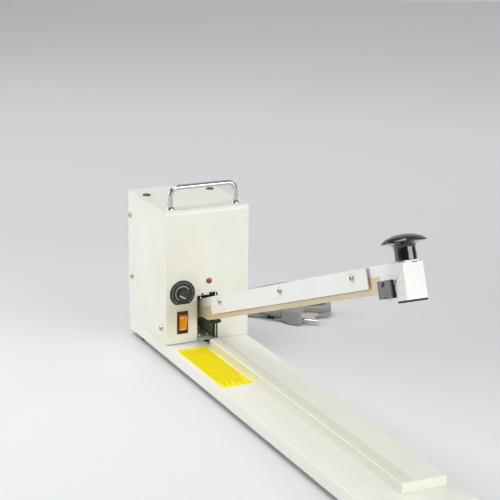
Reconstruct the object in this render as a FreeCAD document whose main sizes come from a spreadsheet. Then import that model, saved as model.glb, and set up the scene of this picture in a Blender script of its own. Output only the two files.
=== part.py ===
import FreeCAD, Part
import math
import os
import Sketcher
from FreeCAD import Placement, Rotation, Vector

# Hand impulse sealer with a sliding film cutter, in millimetres.
# +X is the right side seen from the control face, +Y is behind it, +Z is up.
# The origin is on the surface it stands on, below the middle of its length and width.

DIMENSIONS = (
    # housing
    ("housing_width", 105), ("housing_depth", 120), ("housing_height", 161),
    ("cover_sheet", 1.5), ("front_bend", 5), ("cover_lift", 0.8),
    ("slot_left", -13.6), ("slot_right", 13.2), ("slot_height", 59.2), ("slot_corner", 2),
    ("panel_sheet", 1.2), ("panel_flange", 18), ("panel_gap", 0.2),
    ("vent_count", 6), ("vent_length", 44), ("vent_height", 3), ("vent_pitch", 7),
    ("side_screw_low_y", 14.5), ("side_screw_low_z", 17.8),
    ("side_screw_mid_back", 12), ("side_screw_mid_z", 55.6),
    ("side_screw_top_back", 8), ("side_screw_top_z", 132),
    # base tray
    ("front_reach", 500), ("pan_inset", 1.5), ("pan_height", 15.8), ("pan_sheet", 1.5),
    ("pan_bend", 2), ("floor_plate", 1.2), ("notch_left", -5), ("notch_right", 14),
    ("notch_front", 14), ("notch_back", 6),
    ("foot_height", 6.6), ("foot_radius", 10), ("foot_inset_x", 13), ("foot_inset_y", 28),
    # sealing bed
    ("bed_left", -8.5), ("bed_right", 39.5), ("bed_back", 26), ("bed_front", 464),
    ("bed_height", 10.5), ("bed_sheet", 1.2), ("bed_bend", 1.2),
    ("pad_left", -8.2), ("pad_right", 5), ("pad_thick", 1.2), ("pad_end_gap", 2),
    # carrying handle
    ("handle_rod", 6), ("handle_inset", 11.3), ("handle_y", 13.9), ("handle_rise", 25),
    ("handle_bend", 10), ("stud_radius", 2.5), ("stud_length", 10), ("collar_radius", 4.6),
    ("collar_height", 3), ("plug_y", 87), ("plug_radius", 5), ("plug_stem", 4),
    # controls
    ("dial_inset", 20.4), ("dial_z", 62.1), ("dial_radius", 15.6), ("dial_thick", 1),
    ("dial_flat", 13.2), ("timer_knob_radius", 7.2), ("timer_knob_depth", 5.8),
    ("shaft_radius", 3), ("pot_radius", 12), ("pot_depth", 9), ("bush_radius", 3.9),
    ("rocker_z", 26.3), ("rocker_width", 13.2), ("rocker_height", 27.2),
    ("rocker_bezel", 1.2), ("rocker_depth", 21), ("key_width", 9.2), ("key_height", 21),
    ("rocker_swing", 14),
    ("lamp_x", 1.8), ("lamp_z", 73.6), ("lamp_radius", 3.6), ("lens_radius", 2.6),
    # pivot and spring
    ("pivot_back", 36), ("pivot_rise", 28), ("rest_angle", 20.5), ("pin_radius", 4),
    ("pin_clearance", 0.05), ("bush_wall", 2.5), ("ear_gap", 0.25), ("ear_sheet", 2),
    ("ear_front", 8), ("ear_back", 62), ("ear_top", 100), ("ear_shoulder", 46),
    ("spring_radius", 5), ("spring_wire", 1.2), ("spring_hook_y", 20),
    ("hook_arm", 18), ("stop_radius", 5), ("stop_y", 52),
    # sealing arm, measured from the pivot along the arm and up from its axis
    ("arm_width", 14.6), ("arm_sheet", 1.5), ("arm_top", 10.6), ("arm_foot", -10.7),
    ("arm_tail", 22), ("arm_end", 523.6), ("jaw_bottom", -15.7), ("cloth_front", 475),
    ("jaw_right", 5), ("jaw_top", -5), ("jaw_back", 32), ("jaw_front", 488), ("cloth_thick", 0.25),
    ("cloth_top", 0.5), ("cloth_slant", 24), ("element_width", 3), ("element_thick", 0.3),
    ("plate_back", 74), ("plate_front", 455.4), ("plate_bottom", -9.8), ("plate_sheet", 1.2),
    ("plate_standoff", 1.9), ("plate_screw_pitch", 162), ("plate_screw_up", 3.2),
    # end of the arm
    ("box_front", 525), ("box_bottom", -24.7), ("box_depth", 19.7), ("box_knee", -12.2),
    ("box_width", 21), ("box_top", 8.4),
    ("box_sheet", 1.2), ("end_pad_thick", 2),
    ("knob_cap", 21.2), ("knob_stem", 10.2), ("knob_height", 24), ("knob_along", 514.5),
    # cutter
    ("cutter_back", 481), ("cutter_length", 23.6), ("cutter_top", -4.2), ("cutter_bottom", -21),
    ("cutter_skin", 1.4), ("cutter_body", 2.6), ("cutter_gap", 0.35), ("blade_thick", 0.4),
    ("cutter_travel", 400), ("blade_side", -9.3),
    # inner parts
    ("core_inset", 13), ("core_height", 64), ("core_leg", 13), ("coil_overhang", 8),
    ("coil_clear", 1), ("coil_back_clear", 5.8), ("strap_sheet", 1.2), ("strap_foot", 12),
    ("strap_width", 16), ("strap_screw", 7), ("board_inset", 19), ("board_rise", 14),
    ("board_top_clear", 16.5), ("board_stand", 7),
    ("board_sheet", 1.6), ("spacer_peg", 1.5),
    ("angle_toe", 15), ("angle_screw", 9), ("angle_height", 8), ("angle_sheet", 1.5),
    # fasteners
    ("screw_radius", 2), ("screw_hole", 2.1), ("screw_head", 3.6), ("head_height", 2.2),
    # mains lead
    ("cord_radius", 3.1), ("cord_rest", 0.2), ("relief_x", 30), ("relief_z", 16),
    ("relief_length", 34), ("relief_radius", 5.2), ("fuse_inset", 11.5), ("fuse_rise", 12), ("fuse_radius", 6),
    ("fuse_reach", 9), ("hank_length", 120.4), ("hank_width", 40.2), ("hank_height", 21), ("tie_thick", 0.9), ("tie_width", 8), ("tie_along", -20),
)


class Size(float):
    """A number that keeps the sheet expression it was worked out from."""

    def __new__(cls, value, text):
        number = float.__new__(cls, value)
        number.text = text
        return number

    def __add__(self, other):
        return Size(float(self) + float(other), "(%s + %s)" % (self.text, written(other)))

    def __radd__(self, other):
        return Size(float(other) + float(self), "(%s + %s)" % (written(other), self.text))

    def __sub__(self, other):
        return Size(float(self) - float(other), "(%s - %s)" % (self.text, written(other)))

    def __rsub__(self, other):
        return Size(float(other) - float(self), "(%s - %s)" % (written(other), self.text))

    def __mul__(self, other):
        return Size(float(self) * float(other), "(%s * %s)" % (self.text, written(other)))

    def __rmul__(self, other):
        return Size(float(other) * float(self), "(%s * %s)" % (written(other), self.text))

    def __truediv__(self, other):
        return Size(float(self) / float(other), "(%s / %s)" % (self.text, written(other)))

    def __neg__(self):
        return Size(-float(self), "(0 - %s)" % self.text)


def written(value):
    """The text of a size or plain number inside an expression."""
    return value.text if isinstance(value, Size) else "(%r)" % float(value)


class Sheet:
    """The driving dimensions, read back from the document's spreadsheet by name."""


doc = FreeCAD.newDocument("ImpulseSealer")
cells = doc.addObject("Spreadsheet::Sheet", "Dims")
for row, (alias, number) in enumerate(DIMENSIONS, start=1):
    cells.set("A%d" % row, alias)
    cells.set("B%d" % row, str(number))
    cells.setAlias("B%d" % row, alias)
doc.recompute()
d = Sheet()
for alias, number in DIMENSIONS:
    setattr(d, alias, Size(float(cells.get(alias)), "Dims." + alias))

# Datums worked out from the sheet.
whole_length = d.front_reach + d.housing_depth + d.fuse_reach
face_y = d.front_reach - whole_length / 2
shelf_z = d.foot_height + d.pan_height
half_width = d.housing_width / 2
half_pan = half_width - d.pan_inset
half_arm = d.arm_width / 2
cover_inner = half_width - d.cover_sheet
half_span = half_width - d.handle_inset
dial_x = d.dial_inset - half_width
# What stands inside the housing takes its place from the cover, the panel and the pivot bracket.
core_half = cover_inner - d.core_inset
coil_front = d.ear_back + d.coil_clear
coil_back = d.housing_depth - d.panel_sheet - d.coil_back_clear
core_front = coil_front + d.coil_overhang
core_back = coil_back - d.coil_overhang
core_y = (core_front + core_back) / 2
fuse_x = half_width - d.fuse_inset
fuse_z = d.core_height + d.fuse_rise
board_half_width = cover_inner - d.board_inset
board_low = d.core_height + d.board_rise
board_high = d.housing_height - d.cover_sheet - d.board_top_clear
strap_screw_x = core_half + d.strap_screw
angle_screw_x = cover_inner - d.angle_screw
# The datum of the housing and base: the foot of the control face, on the shelf.
HOUSING = (0.0, face_y, shelf_z)
NODES = []


def bind(thing, prop, value):
    """Set a property and tie it to the sheet."""
    setattr(thing, prop, float(value))
    if isinstance(value, Size):
        thing.setExpression(prop, value.text)


def place(thing, x, y, z, rotation=None):
    """Give an object its place, tied to the sheet."""
    thing.Placement = Placement(Vector(float(x), float(y), float(z)), rotation or Rotation())
    for axis, value in zip("xyz", (x, y, z)):
        if isinstance(value, Size):
            thing.setExpression(".Placement.Base." + axis, value.text)


def node(thing, label, datum=HOUSING, rotation=None):
    """Register a finished sub-part under its own label, in the frame it belongs to."""
    place(thing, datum[0], datum[1], datum[2], rotation)
    thing.Label = label
    NODES.append(thing)
    return thing


def arm_node(thing, label):
    """Register a sub-part of the arm, whose own frame lies along the raised arm."""
    lift = Rotation(Vector(1, 0, 0), -float(d.rest_angle))
    return node(thing, label, (0.0, face_y + d.pivot_back, shelf_z + d.pivot_rise), lift)


def box(name, low, high):
    """A block between two corners."""
    thing = doc.addObject("Part::Box", name)
    for prop, first, last in zip(("Length", "Width", "Height"), low, high):
        bind(thing, prop, last - first)
    place(thing, *low)
    return thing


TURNS = {
    "x": Rotation(Vector(0, 0, 1), Vector(1, 0, 0)),
    "y": Rotation(Vector(0, 0, 1), Vector(0, 1, 0)),
    "z": Rotation(),
    "-y": Rotation(Vector(0, 0, 1), Vector(0, -1, 0)),
    "-x": Rotation(Vector(0, 0, 1), Vector(-1, 0, 0)),
    "-z": Rotation(Vector(0, 0, 1), Vector(0, 0, -1)),
}


def rod(name, radius, length, start, axis="z"):
    """A round bar that starts at a point and runs along an axis."""
    thing = doc.addObject("Part::Cylinder", name)
    bind(thing, "Radius", radius)
    bind(thing, "Height", length)
    place(thing, start[0], start[1], start[2], TURNS[axis])
    return thing


def cone(name, radius, top_radius, length, start, axis="z"):
    """A tapered round bar."""
    thing = doc.addObject("Part::Cone", name)
    bind(thing, "Radius1", radius)
    bind(thing, "Radius2", top_radius)
    bind(thing, "Height", length)
    place(thing, start[0], start[1], start[2], TURNS[axis])
    return thing


def cut(name, base, *tools):
    """One block with others taken away."""
    tool = tools[0]
    if len(tools) > 1:
        tool = doc.addObject("Part::MultiFuse", name + "_tools")
        tool.Shapes = list(tools)
    thing = doc.addObject("Part::Cut", name)
    thing.Base = base
    thing.Tool = tool
    return thing


def fuse(name, *parts):
    """Blocks joined into one."""
    thing = doc.addObject("Part::MultiFuse", name)
    thing.Shapes = list(parts)
    return thing


def group(name, *parts):
    """Separate like solids kept in one node."""
    thing = doc.addObject("Part::Compound", name)
    thing.Links = list(parts)
    return thing


def body(name):
    """A new body for sketched features."""
    return doc.addObject("PartDesign::Body", name)


def sketch(owner, role, offset=0.0):
    """A sketch on one of the body's own planes, moved along the plane's normal."""
    plane = next(f for f in owner.Origin.OriginFeatures if f.Role == role)
    drawing = owner.newObject("Sketcher::SketchObject", owner.Name + "_sketch")
    drawing.AttachmentSupport = [(plane, "")]
    drawing.MapMode = "FlatFace"
    drawing.AttachmentOffset = Placement(Vector(0, 0, float(offset)), Rotation())
    if isinstance(offset, Size):
        drawing.setExpression("AttachmentOffset.Base.z", offset.text)
    return drawing


def pin_point(drawing, geometry, spot, u, v):
    """Hold a sketch point at its two distances from the sketch's origin."""
    for kind, value in (("DistanceX", u), ("DistanceY", v)):
        index = drawing.addConstraint(Sketcher.Constraint(kind, -1, 1, geometry, spot, float(value)))
        if isinstance(value, Size):
            drawing.setExpression("Constraints[%d]" % index, value.text)


def outline(drawing, points):
    """A closed outline of straight lines."""
    first = drawing.GeometryCount
    count = len(points)
    spots = [Vector(float(u), float(v), 0) for u, v in points]
    for index in range(count):
        drawing.addGeometry(Part.LineSegment(spots[index], spots[(index + 1) % count]), False)
    for index in range(count):
        following = first + (index + 1) % count
        drawing.addConstraint(Sketcher.Constraint("Coincident", first + index, 2, following, 1))
    for index, (u, v) in enumerate(points):
        pin_point(drawing, first + index, 1, u, v)
    return drawing


def rectangle(drawing, low_u, low_v, high_u, high_v):
    """A closed rectangle."""
    return outline(drawing, [(low_u, low_v), (high_u, low_v), (high_u, high_v), (low_u, high_v)])


def circle(drawing, u, v, radius):
    """A full circle."""
    index = drawing.addGeometry(Part.Circle(Vector(float(u), float(v), 0), Vector(0, 0, 1), float(radius)))
    row = drawing.addConstraint(Sketcher.Constraint("Radius", index, float(radius)))
    if isinstance(radius, Size):
        drawing.setExpression("Constraints[%d]" % row, radius.text)
    pin_point(drawing, index, 3, u, v)
    return drawing


def volume(owner):
    """The body's present volume."""
    doc.recompute()
    return 0.0 if owner.Shape.isNull() else owner.Shape.Volume


def pad(owner, drawing, length, reverse=False, midplane=False):
    """Raise material from a sketch."""
    before = volume(owner)
    feature = owner.newObject("PartDesign::Pad", owner.Name + "_pad")
    feature.Profile = drawing
    bind(feature, "Length", length)
    feature.Reversed = reverse
    feature.Midplane = midplane
    if volume(owner) <= before:
        raise RuntimeError("pad added nothing: " + owner.Name)
    return feature


def pocket(owner, drawing, depth, reverse=False, midplane=False):
    """Cut material away behind a sketch."""
    before = volume(owner)
    feature = owner.newObject("PartDesign::Pocket", owner.Name + "_pocket")
    feature.Profile = drawing
    bind(feature, "Length", depth)
    feature.Reversed = reverse
    feature.Midplane = midplane
    if volume(owner) >= before:
        raise RuntimeError("pocket cut nothing: " + owner.Name)
    return feature


def revolve(owner, drawing, axis="V_Axis"):
    """Turn a half profile round a sketch axis."""
    feature = owner.newObject("PartDesign::Revolution", owner.Name + "_turned")
    feature.Profile = drawing
    feature.ReferenceAxis = (drawing, [axis])
    feature.Angle = 360
    doc.recompute()
    return feature


def edge_names(shape, chosen):
    """Names of the straight edges whose middle and direction satisfy a test."""
    names = []
    for index, edge in enumerate(shape.Edges, start=1):
        if isinstance(edge.Curve, Part.Line):
            middle = edge.CenterOfMass
            direction = edge.tangentAt(edge.FirstParameter)
            if chosen(middle, direction):
                names.append("Edge%d" % index)
    return names


def round_edges(owner, radius, chosen):
    """Round the chosen straight edges of a body."""
    doc.recompute()
    base = owner.Tip
    names = edge_names(base.Shape, chosen)
    if not names:
        raise RuntimeError("no edge to round: " + owner.Name)
    feature = owner.newObject("PartDesign::Fillet", owner.Name + "_round")
    feature.Base = (base, names)
    bind(feature, "Radius", radius)
    doc.recompute()
    return feature


def near(first, second):
    """Whether two lengths agree to a hundredth of a millimetre."""
    return abs(float(first) - float(second)) < 0.01


def pan_screw(name, radius, shank, spot, axis, head_radius, head_height):
    """A screw with a round head outside its seat and a plain shank going in."""
    back = {"x": "-x", "-x": "x", "y": "-y", "-y": "y", "z": "-z", "-z": "z"}[axis]
    stem = rod(name + "_shank", radius, shank, spot, axis)
    head = cone(name + "_head", head_radius, head_radius * 0.72, head_height, spot, back)
    return fuse(name, stem, head)


# Base tray: a folded tray, open below, with a notch that clears the arm's heel.
pan = body("base_pan")
pad(pan, rectangle(sketch(pan, "XY_Plane", -d.pan_height), -half_pan, -d.front_reach,
                   half_pan, d.housing_depth), d.pan_height)
round_edges(pan, d.pan_bend, lambda m, t: near(m.z, 0))
inner = sketch(pan, "XY_Plane", -d.pan_height)
rectangle(inner, -half_pan + d.pan_sheet, -d.front_reach + d.pan_sheet,
          half_pan - d.pan_sheet, d.housing_depth - d.pan_sheet)
pocket(pan, inner, d.pan_height - d.pan_sheet, reverse=True)
notch = sketch(pan, "XY_Plane", 1.0)
rectangle(notch, d.notch_left, -d.notch_front, d.notch_right, d.notch_back)
pocket(pan, notch, d.pan_sheet + 2)
shelf_screws = [(sign * x, y) for x, y in ((5.5, 14), (5.5, 40)) for sign in (-1, 1)]
shelf_screws += [(sign * strap_screw_x, core_y) for sign in (-1, 1)]
shelf_screws += [(sign * angle_screw_x, d.side_screw_low_y) for sign in (-1, 1)]
drilled = sketch(pan, "XY_Plane", 1.0)
for x, y in shelf_screws:
    circle(drilled, x, y, d.screw_hole)
pocket(pan, drilled, d.pan_sheet + 2)
node(pan, "base_pan")

# Floor plate that closes the tray and carries the feet.
floor_gap = d.pan_sheet + 0.2
floor = body("floor_plate")
foot_back = d.housing_depth - d.foot_inset_y
foot_front = -d.front_reach + d.foot_inset_y
foot_places = [(sign * (half_pan - d.foot_inset_x), y) for y in (foot_front, foot_back) for sign in (-1, 1)]
plate_sketch = sketch(floor, "XY_Plane", -d.pan_height)
rectangle(plate_sketch, -half_pan + floor_gap, -d.front_reach + floor_gap,
          half_pan - floor_gap, d.housing_depth - floor_gap)
for x, y in foot_places:
    circle(plate_sketch, x, y, d.screw_hole)
pad(floor, plate_sketch, d.floor_plate)
node(floor, "floor_plate")

# Rubber feet, each with a sunk screw.
feet = []
foot_screws = []
for index, (x, y) in enumerate(foot_places):
    name = "foot_%d" % (index + 1)
    rim = cone(name + "_rim", d.foot_radius - 1.2, d.foot_radius, d.foot_height, (x, y, -d.pan_height - d.foot_height))
    well = rod(name + "_well", d.screw_head + 0.6, d.foot_height * 0.55, (x, y, -d.pan_height - d.foot_height))
    hole = rod(name + "_hole", d.screw_hole, d.foot_height, (x, y, -d.pan_height - d.foot_height))
    feet.append(cut(name, rim, well, hole))
    seat = (x, y, -d.pan_height - d.foot_height * 0.45)
    foot_screws.append(pan_screw(name + "_screw", d.screw_radius, d.foot_height * 0.45 + 5, seat, "z",
                                 d.screw_head, d.head_height * 0.9))
node(group("feet", *feet), "rubber_feet")
node(group("foot_fasteners", *foot_screws), "foot_screws")

# Sealing bed: a raised channel on the tray with its silicone strip.
bed = body("bed_channel")
pad(bed, rectangle(sketch(bed, "XY_Plane"), d.bed_left, -d.bed_front, d.bed_right, -d.bed_back), d.bed_height)
round_edges(bed, d.bed_bend, lambda m, t: near(m.z, d.bed_height) and abs(t.y) > 0.9)
hollow = sketch(bed, "XY_Plane")
rectangle(hollow, d.bed_left + d.bed_sheet, -d.bed_front + d.bed_sheet,
          d.bed_right - d.bed_sheet, -d.bed_back - d.bed_sheet)
pocket(bed, hollow, d.bed_height - d.bed_sheet, reverse=True)
node(bed, "bed_channel")

strip = body("silicone_pad")
pad_lift = d.bed_height + d.pad_thick
strip_face = sketch(strip, "XZ_Plane", d.bed_back + d.pad_end_gap)
outline(strip_face, [(d.pad_left + 1.2, d.bed_height), (d.pad_right, d.bed_height),
                     (d.pad_right, d.bed_height + d.pad_thick * 0.6), (d.pad_right - 0.8, pad_lift),
                     (d.pad_left + 2.0, pad_lift), (d.pad_left + 1.2, d.bed_height + d.pad_thick * 0.6)])
pad(strip, strip_face, d.bed_front - d.bed_back - 2 * d.pad_end_gap)
node(strip, "silicone_pad")

# Housing cover: front, top and sides in one shell, open at the back and below.
cover = body("housing_cover")
shell = sketch(cover, "YZ_Plane")
rectangle(shell, 0.0, d.cover_lift, d.housing_depth, d.housing_height)
pad(cover, shell, d.housing_width, midplane=True)
void = sketch(cover, "YZ_Plane")
rectangle(void, d.cover_sheet, d.cover_lift - 5, d.housing_depth + 5, d.housing_height - d.cover_sheet)
pocket(cover, void, d.housing_width - 2 * d.cover_sheet, midplane=True)
round_edges(cover, d.front_bend - d.cover_sheet,
            lambda m, t: near(m.y, d.cover_sheet) and near(m.z, d.housing_height - d.cover_sheet))
round_edges(cover, d.front_bend, lambda m, t: near(m.y, 0) and near(m.z, d.housing_height) and abs(t.x) > 0.9)
face_cuts = sketch(cover, "XZ_Plane", 1.0)
outline(face_cuts, [(d.slot_left, d.cover_lift - 2), (d.slot_right, d.cover_lift - 2),
                    (d.slot_right, d.slot_height - d.slot_corner), (d.slot_right - d.slot_corner, d.slot_height),
                    (d.slot_left + d.slot_corner, d.slot_height), (d.slot_left, d.slot_height - d.slot_corner)])
rectangle(face_cuts, dial_x - d.rocker_width / 2 + 0.9, d.rocker_z - d.rocker_height / 2 + 0.9,
          dial_x + d.rocker_width / 2 - 0.9, d.rocker_z + d.rocker_height / 2 - 0.9)
circle(face_cuts, dial_x, d.dial_z, d.bush_radius + 0.2)
circle(face_cuts, d.lamp_x, d.lamp_z, d.lamp_radius - 0.6)
pocket(cover, face_cuts, d.cover_sheet + 2)
top_cuts = sketch(cover, "XY_Plane", d.housing_height + 1)
for sign in (-1, 1):
    circle(top_cuts, sign * half_span, d.handle_y, d.stud_radius + 0.2)
    circle(top_cuts, sign * half_span, d.plug_y, d.plug_stem + 0.2)
pocket(cover, top_cuts, d.cover_sheet + 2)
side_places = [(d.side_screw_low_y, d.side_screw_low_z),
               (d.housing_depth - d.side_screw_mid_back, d.side_screw_mid_z),
               (d.housing_depth - d.side_screw_top_back, d.side_screw_top_z)]
side_cuts = sketch(cover, "YZ_Plane")
for y, z in side_places:
    circle(side_cuts, y, z, d.screw_hole)
pocket(cover, side_cuts, d.housing_width + 2, midplane=True)
node(cover, "housing_cover")

# Rear panel: a plate with forward flanges, vents and the two round holes for lead and fuse.
rear = body("rear_panel")
panel_half = cover_inner - d.panel_gap
panel_in = d.housing_depth - d.panel_sheet
flange_front = d.housing_depth - d.panel_flange
footing = sketch(rear, "XY_Plane", d.panel_gap)
outline(footing, [(-panel_half, flange_front), (-panel_half, d.housing_depth), (panel_half, d.housing_depth),
                  (panel_half, flange_front), (panel_half - d.panel_sheet, flange_front),
                  (panel_half - d.panel_sheet, panel_in), (-panel_half + d.panel_sheet, panel_in),
                  (-panel_half + d.panel_sheet, flange_front)])
pad(rear, footing, d.housing_height - d.cover_sheet - 2 * d.panel_gap)
flange_holes = sketch(rear, "YZ_Plane")
for y, z in side_places[1:]:
    circle(flange_holes, y, z, d.screw_hole)
pocket(rear, flange_holes, d.housing_width, midplane=True)
round_holes = sketch(rear, "XZ_Plane", -d.housing_depth - 1)
circle(round_holes, d.relief_x, d.relief_z, d.relief_radius)
circle(round_holes, fuse_x, fuse_z, d.fuse_radius + 0.2)
board_half = board_half_width - 4
board_rows = (board_low + 4, board_high - 4)
for x in (-board_half, board_half):
    for z in board_rows:
        circle(round_holes, x, z, d.spacer_peg + 0.1)
pocket(rear, round_holes, d.panel_sheet + 2, reverse=True)
first_vent = sketch(rear, "XZ_Plane", -d.housing_depth - 1)
rectangle(first_vent, -d.vent_length + 2, 18.0, 2.0, 18.0 + d.vent_height)
vent = pocket(rear, first_vent, d.panel_sheet + 2, reverse=True)
vents = rear.newObject("PartDesign::LinearPattern", "rear_vents")
vents.Originals = [vent]
vents.Direction = (first_vent, ["V_Axis"])
bind(vents, "Length", d.vent_pitch * (d.vent_count - 1))
vents.Occurrences = int(d.vent_count)
rear.Tip = vents
node(rear, "rear_panel")

# Carrying handle: a bent chromed rod on two flared collars, held by nuts under the cover.
top_z = d.housing_height
handle = body("handle_rod")
bow = handle.newObject("Sketcher::SketchObject", "handle_path")
bow.AttachmentSupport = [(next(f for f in handle.Origin.OriginFeatures if f.Role == "XZ_Plane"), "")]
bow.MapMode = "FlatFace"
low, high, bend = 0.0, float(d.handle_rise), float(d.handle_bend)
reach = float(half_span)
bow.addGeometry(Part.LineSegment(Vector(-reach, low, 0), Vector(-reach, high - bend, 0)), False)
bow.addGeometry(Part.ArcOfCircle(Part.Circle(Vector(-reach + bend, high - bend, 0), Vector(0, 0, 1), bend),
                                 math.pi / 2, math.pi), False)
bow.addGeometry(Part.LineSegment(Vector(-reach + bend, high, 0), Vector(reach - bend, high, 0)), False)
bow.addGeometry(Part.ArcOfCircle(Part.Circle(Vector(reach - bend, high - bend, 0), Vector(0, 0, 1), bend),
                                 0, math.pi / 2), False)
bow.addGeometry(Part.LineSegment(Vector(reach, high - bend, 0), Vector(reach, low, 0)), False)
for first, first_end, second, second_end in ((0, 2, 1, 2), (1, 1, 2, 1), (2, 2, 3, 2), (3, 1, 4, 1)):
    bow.addConstraint(Sketcher.Constraint("Tangent", first, first_end, second, second_end))
bow.addConstraint(Sketcher.Constraint("Vertical", 0))
bow.addConstraint(Sketcher.Constraint("Vertical", 4))
bow.addConstraint(Sketcher.Constraint("Equal", 1, 3))
radius_row = bow.addConstraint(Sketcher.Constraint("Radius", 1, bend))
bow.setExpression("Constraints[%d]" % radius_row, d.handle_bend.text)
pin_point(bow, 0, 1, -half_span, 0.0)
pin_point(bow, 4, 2, half_span, 0.0)
rise_row = bow.addConstraint(Sketcher.Constraint("DistanceY", -1, 1, 2, 1, high))
bow.setExpression("Constraints[%d]" % rise_row, d.handle_rise.text)
section = sketch(handle, "XY_Plane")
circle(section, -half_span, 0.0, d.handle_rod / 2)
doc.recompute()
pipe = handle.newObject("PartDesign::AdditivePipe", "handle_sweep")
pipe.Profile = section
pipe.Spine = (bow, ["Edge%d" % (index + 1) for index in range(5)])
doc.recompute()
studs = sketch(handle, "XY_Plane")
for sign in (-1, 1):
    circle(studs, sign * half_span, 0.0, d.stud_radius)
pad(handle, studs, d.stud_length, reverse=True)
node(handle, "carrying_handle", (0.0, face_y + d.handle_y, shelf_z + top_z))

collars = []
nuts = []
plugs = []
for side, sign in (("left", -1), ("right", 1)):
    x = sign * half_span
    flare = cone(side + "_flare", d.collar_radius, d.handle_rod / 2 + 1.2, d.collar_height, (x, d.handle_y, top_z))
    bore = rod(side + "_collar_bore", d.handle_rod / 2 + 0.05, d.collar_height + 2, (x, d.handle_y, top_z - 1))
    collars.append(cut(side + "_collar", flare, bore))
    hexagon = doc.addObject("Part::Prism", side + "_hexagon")
    hexagon.Polygon = 6
    bind(hexagon, "Circumradius", d.stud_radius * 1.85)
    bind(hexagon, "Height", d.stud_radius * 1.6)
    place(hexagon, x, d.handle_y, top_z - d.cover_sheet - d.stud_radius * 1.6)
    thread = rod(side + "_nut_bore", d.stud_radius + 0.05, d.stud_length + 4,
                 (x, d.handle_y, top_z - d.stud_length - 3))
    nuts.append(cut(side + "_nut", hexagon, thread))
    brim = cone(side + "_brim", d.plug_radius, d.plug_radius - 0.8, 1.2, (x, d.plug_y, top_z))
    stem = rod(side + "_stem", d.plug_stem, 6.0, (x, d.plug_y, top_z - 5.5))
    plugs.append(fuse(side + "_plug", brim, stem))
node(group("collar_pair", *collars), "handle_collars")
node(group("nut_pair", *nuts), "handle_nuts")
node(group("plug_pair", *plugs), "top_plugs")

# Angles inside the housing that tie the cover to the tray.
angles = []
angle_screws = []
for side, sign in (("left", -1), ("right", 1)):
    far = sign * (cover_inner - d.panel_gap)
    web = sign * (cover_inner - d.panel_gap - d.angle_sheet)
    toe = sign * (cover_inner - d.angle_toe)
    wall_low, wall_high = (far, web) if sign < 0 else (web, far)
    toe_low, toe_high = (far, toe) if sign < 0 else (toe, far)
    back = d.side_screw_low_y + d.angle_screw
    front = d.side_screw_low_y - d.angle_screw
    wall = box(side + "_angle_wall", (wall_low, front, 0.0), (wall_high, back, d.side_screw_low_z + d.angle_height))
    toe_plate = box(side + "_angle_toe", (toe_low, front, 0.0), (toe_high, back, d.angle_sheet))
    side_hole = rod(side + "_angle_side_hole", d.screw_hole, d.angle_toe, (far, d.side_screw_low_y, d.side_screw_low_z),
                    "x" if sign < 0 else "-x")
    toe_hole = rod(side + "_angle_toe_hole", d.screw_hole, d.angle_sheet * 4,
                   (sign * angle_screw_x, d.side_screw_low_y, -d.angle_sheet))
    angles.append(cut(side + "_angle", fuse(side + "_angle_fold", wall, toe_plate), side_hole, toe_hole))
    angle_screws.append(pan_screw(side + "_angle_screw", d.screw_radius, d.angle_sheet * 4,
                                  (sign * angle_screw_x, d.side_screw_low_y, d.angle_sheet), "-z", d.screw_head,
                                  d.head_height))
node(group("angle_pair", *angles), "cover_angles")

# Screws that show on the two sides of the cover.
side_screws = []
for side, sign, axis in (("left", -1, "x"), ("right", 1, "-x")):
    for index, (y, z) in enumerate(side_places):
        side_screws.append(pan_screw("%s_side_screw_%d" % (side, index + 1), d.screw_radius, 6,
                                     (sign * half_width, y, z), axis, d.screw_head, d.head_height))
node(group("side_fasteners", *side_screws), "cover_screws")

# Timer: scale plate, potentiometer with its bush and nut, shaft and knob.
scale = body("dial_plate")
face = sketch(scale, "XZ_Plane")
half_chord = math.sqrt(float(d.dial_radius) ** 2 - float(d.dial_flat) ** 2)
foot_angle = math.atan2(-float(d.dial_flat), half_chord)
rim_arc = Part.ArcOfCircle(Part.Circle(Vector(0, 0, 0), Vector(0, 0, 1), float(d.dial_radius)),
                           foot_angle, math.pi - foot_angle)
face.addGeometry(rim_arc, False)
face.addGeometry(Part.LineSegment(Vector(-half_chord, -float(d.dial_flat), 0),
                                  Vector(half_chord, -float(d.dial_flat), 0)), False)
face.addConstraint(Sketcher.Constraint("Coincident", 0, 2, 1, 1))
face.addConstraint(Sketcher.Constraint("Coincident", 0, 1, 1, 2))
face.addConstraint(Sketcher.Constraint("Coincident", 0, 3, -1, 1))
face.addConstraint(Sketcher.Constraint("Horizontal", 1))
rim_row = face.addConstraint(Sketcher.Constraint("Radius", 0, float(d.dial_radius)))
face.setExpression("Constraints[%d]" % rim_row, d.dial_radius.text)
flat_row = face.addConstraint(Sketcher.Constraint("DistanceY", 1, 1, -1, 1, float(d.dial_flat)))
face.setExpression("Constraints[%d]" % flat_row, d.dial_flat.text)
circle(face, 0.0, 0.0, d.bush_radius + 0.2)
pad(scale, face, d.dial_thick)
node(scale, "dial_plate", (dial_x, face_y, shelf_z + d.dial_z))

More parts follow.
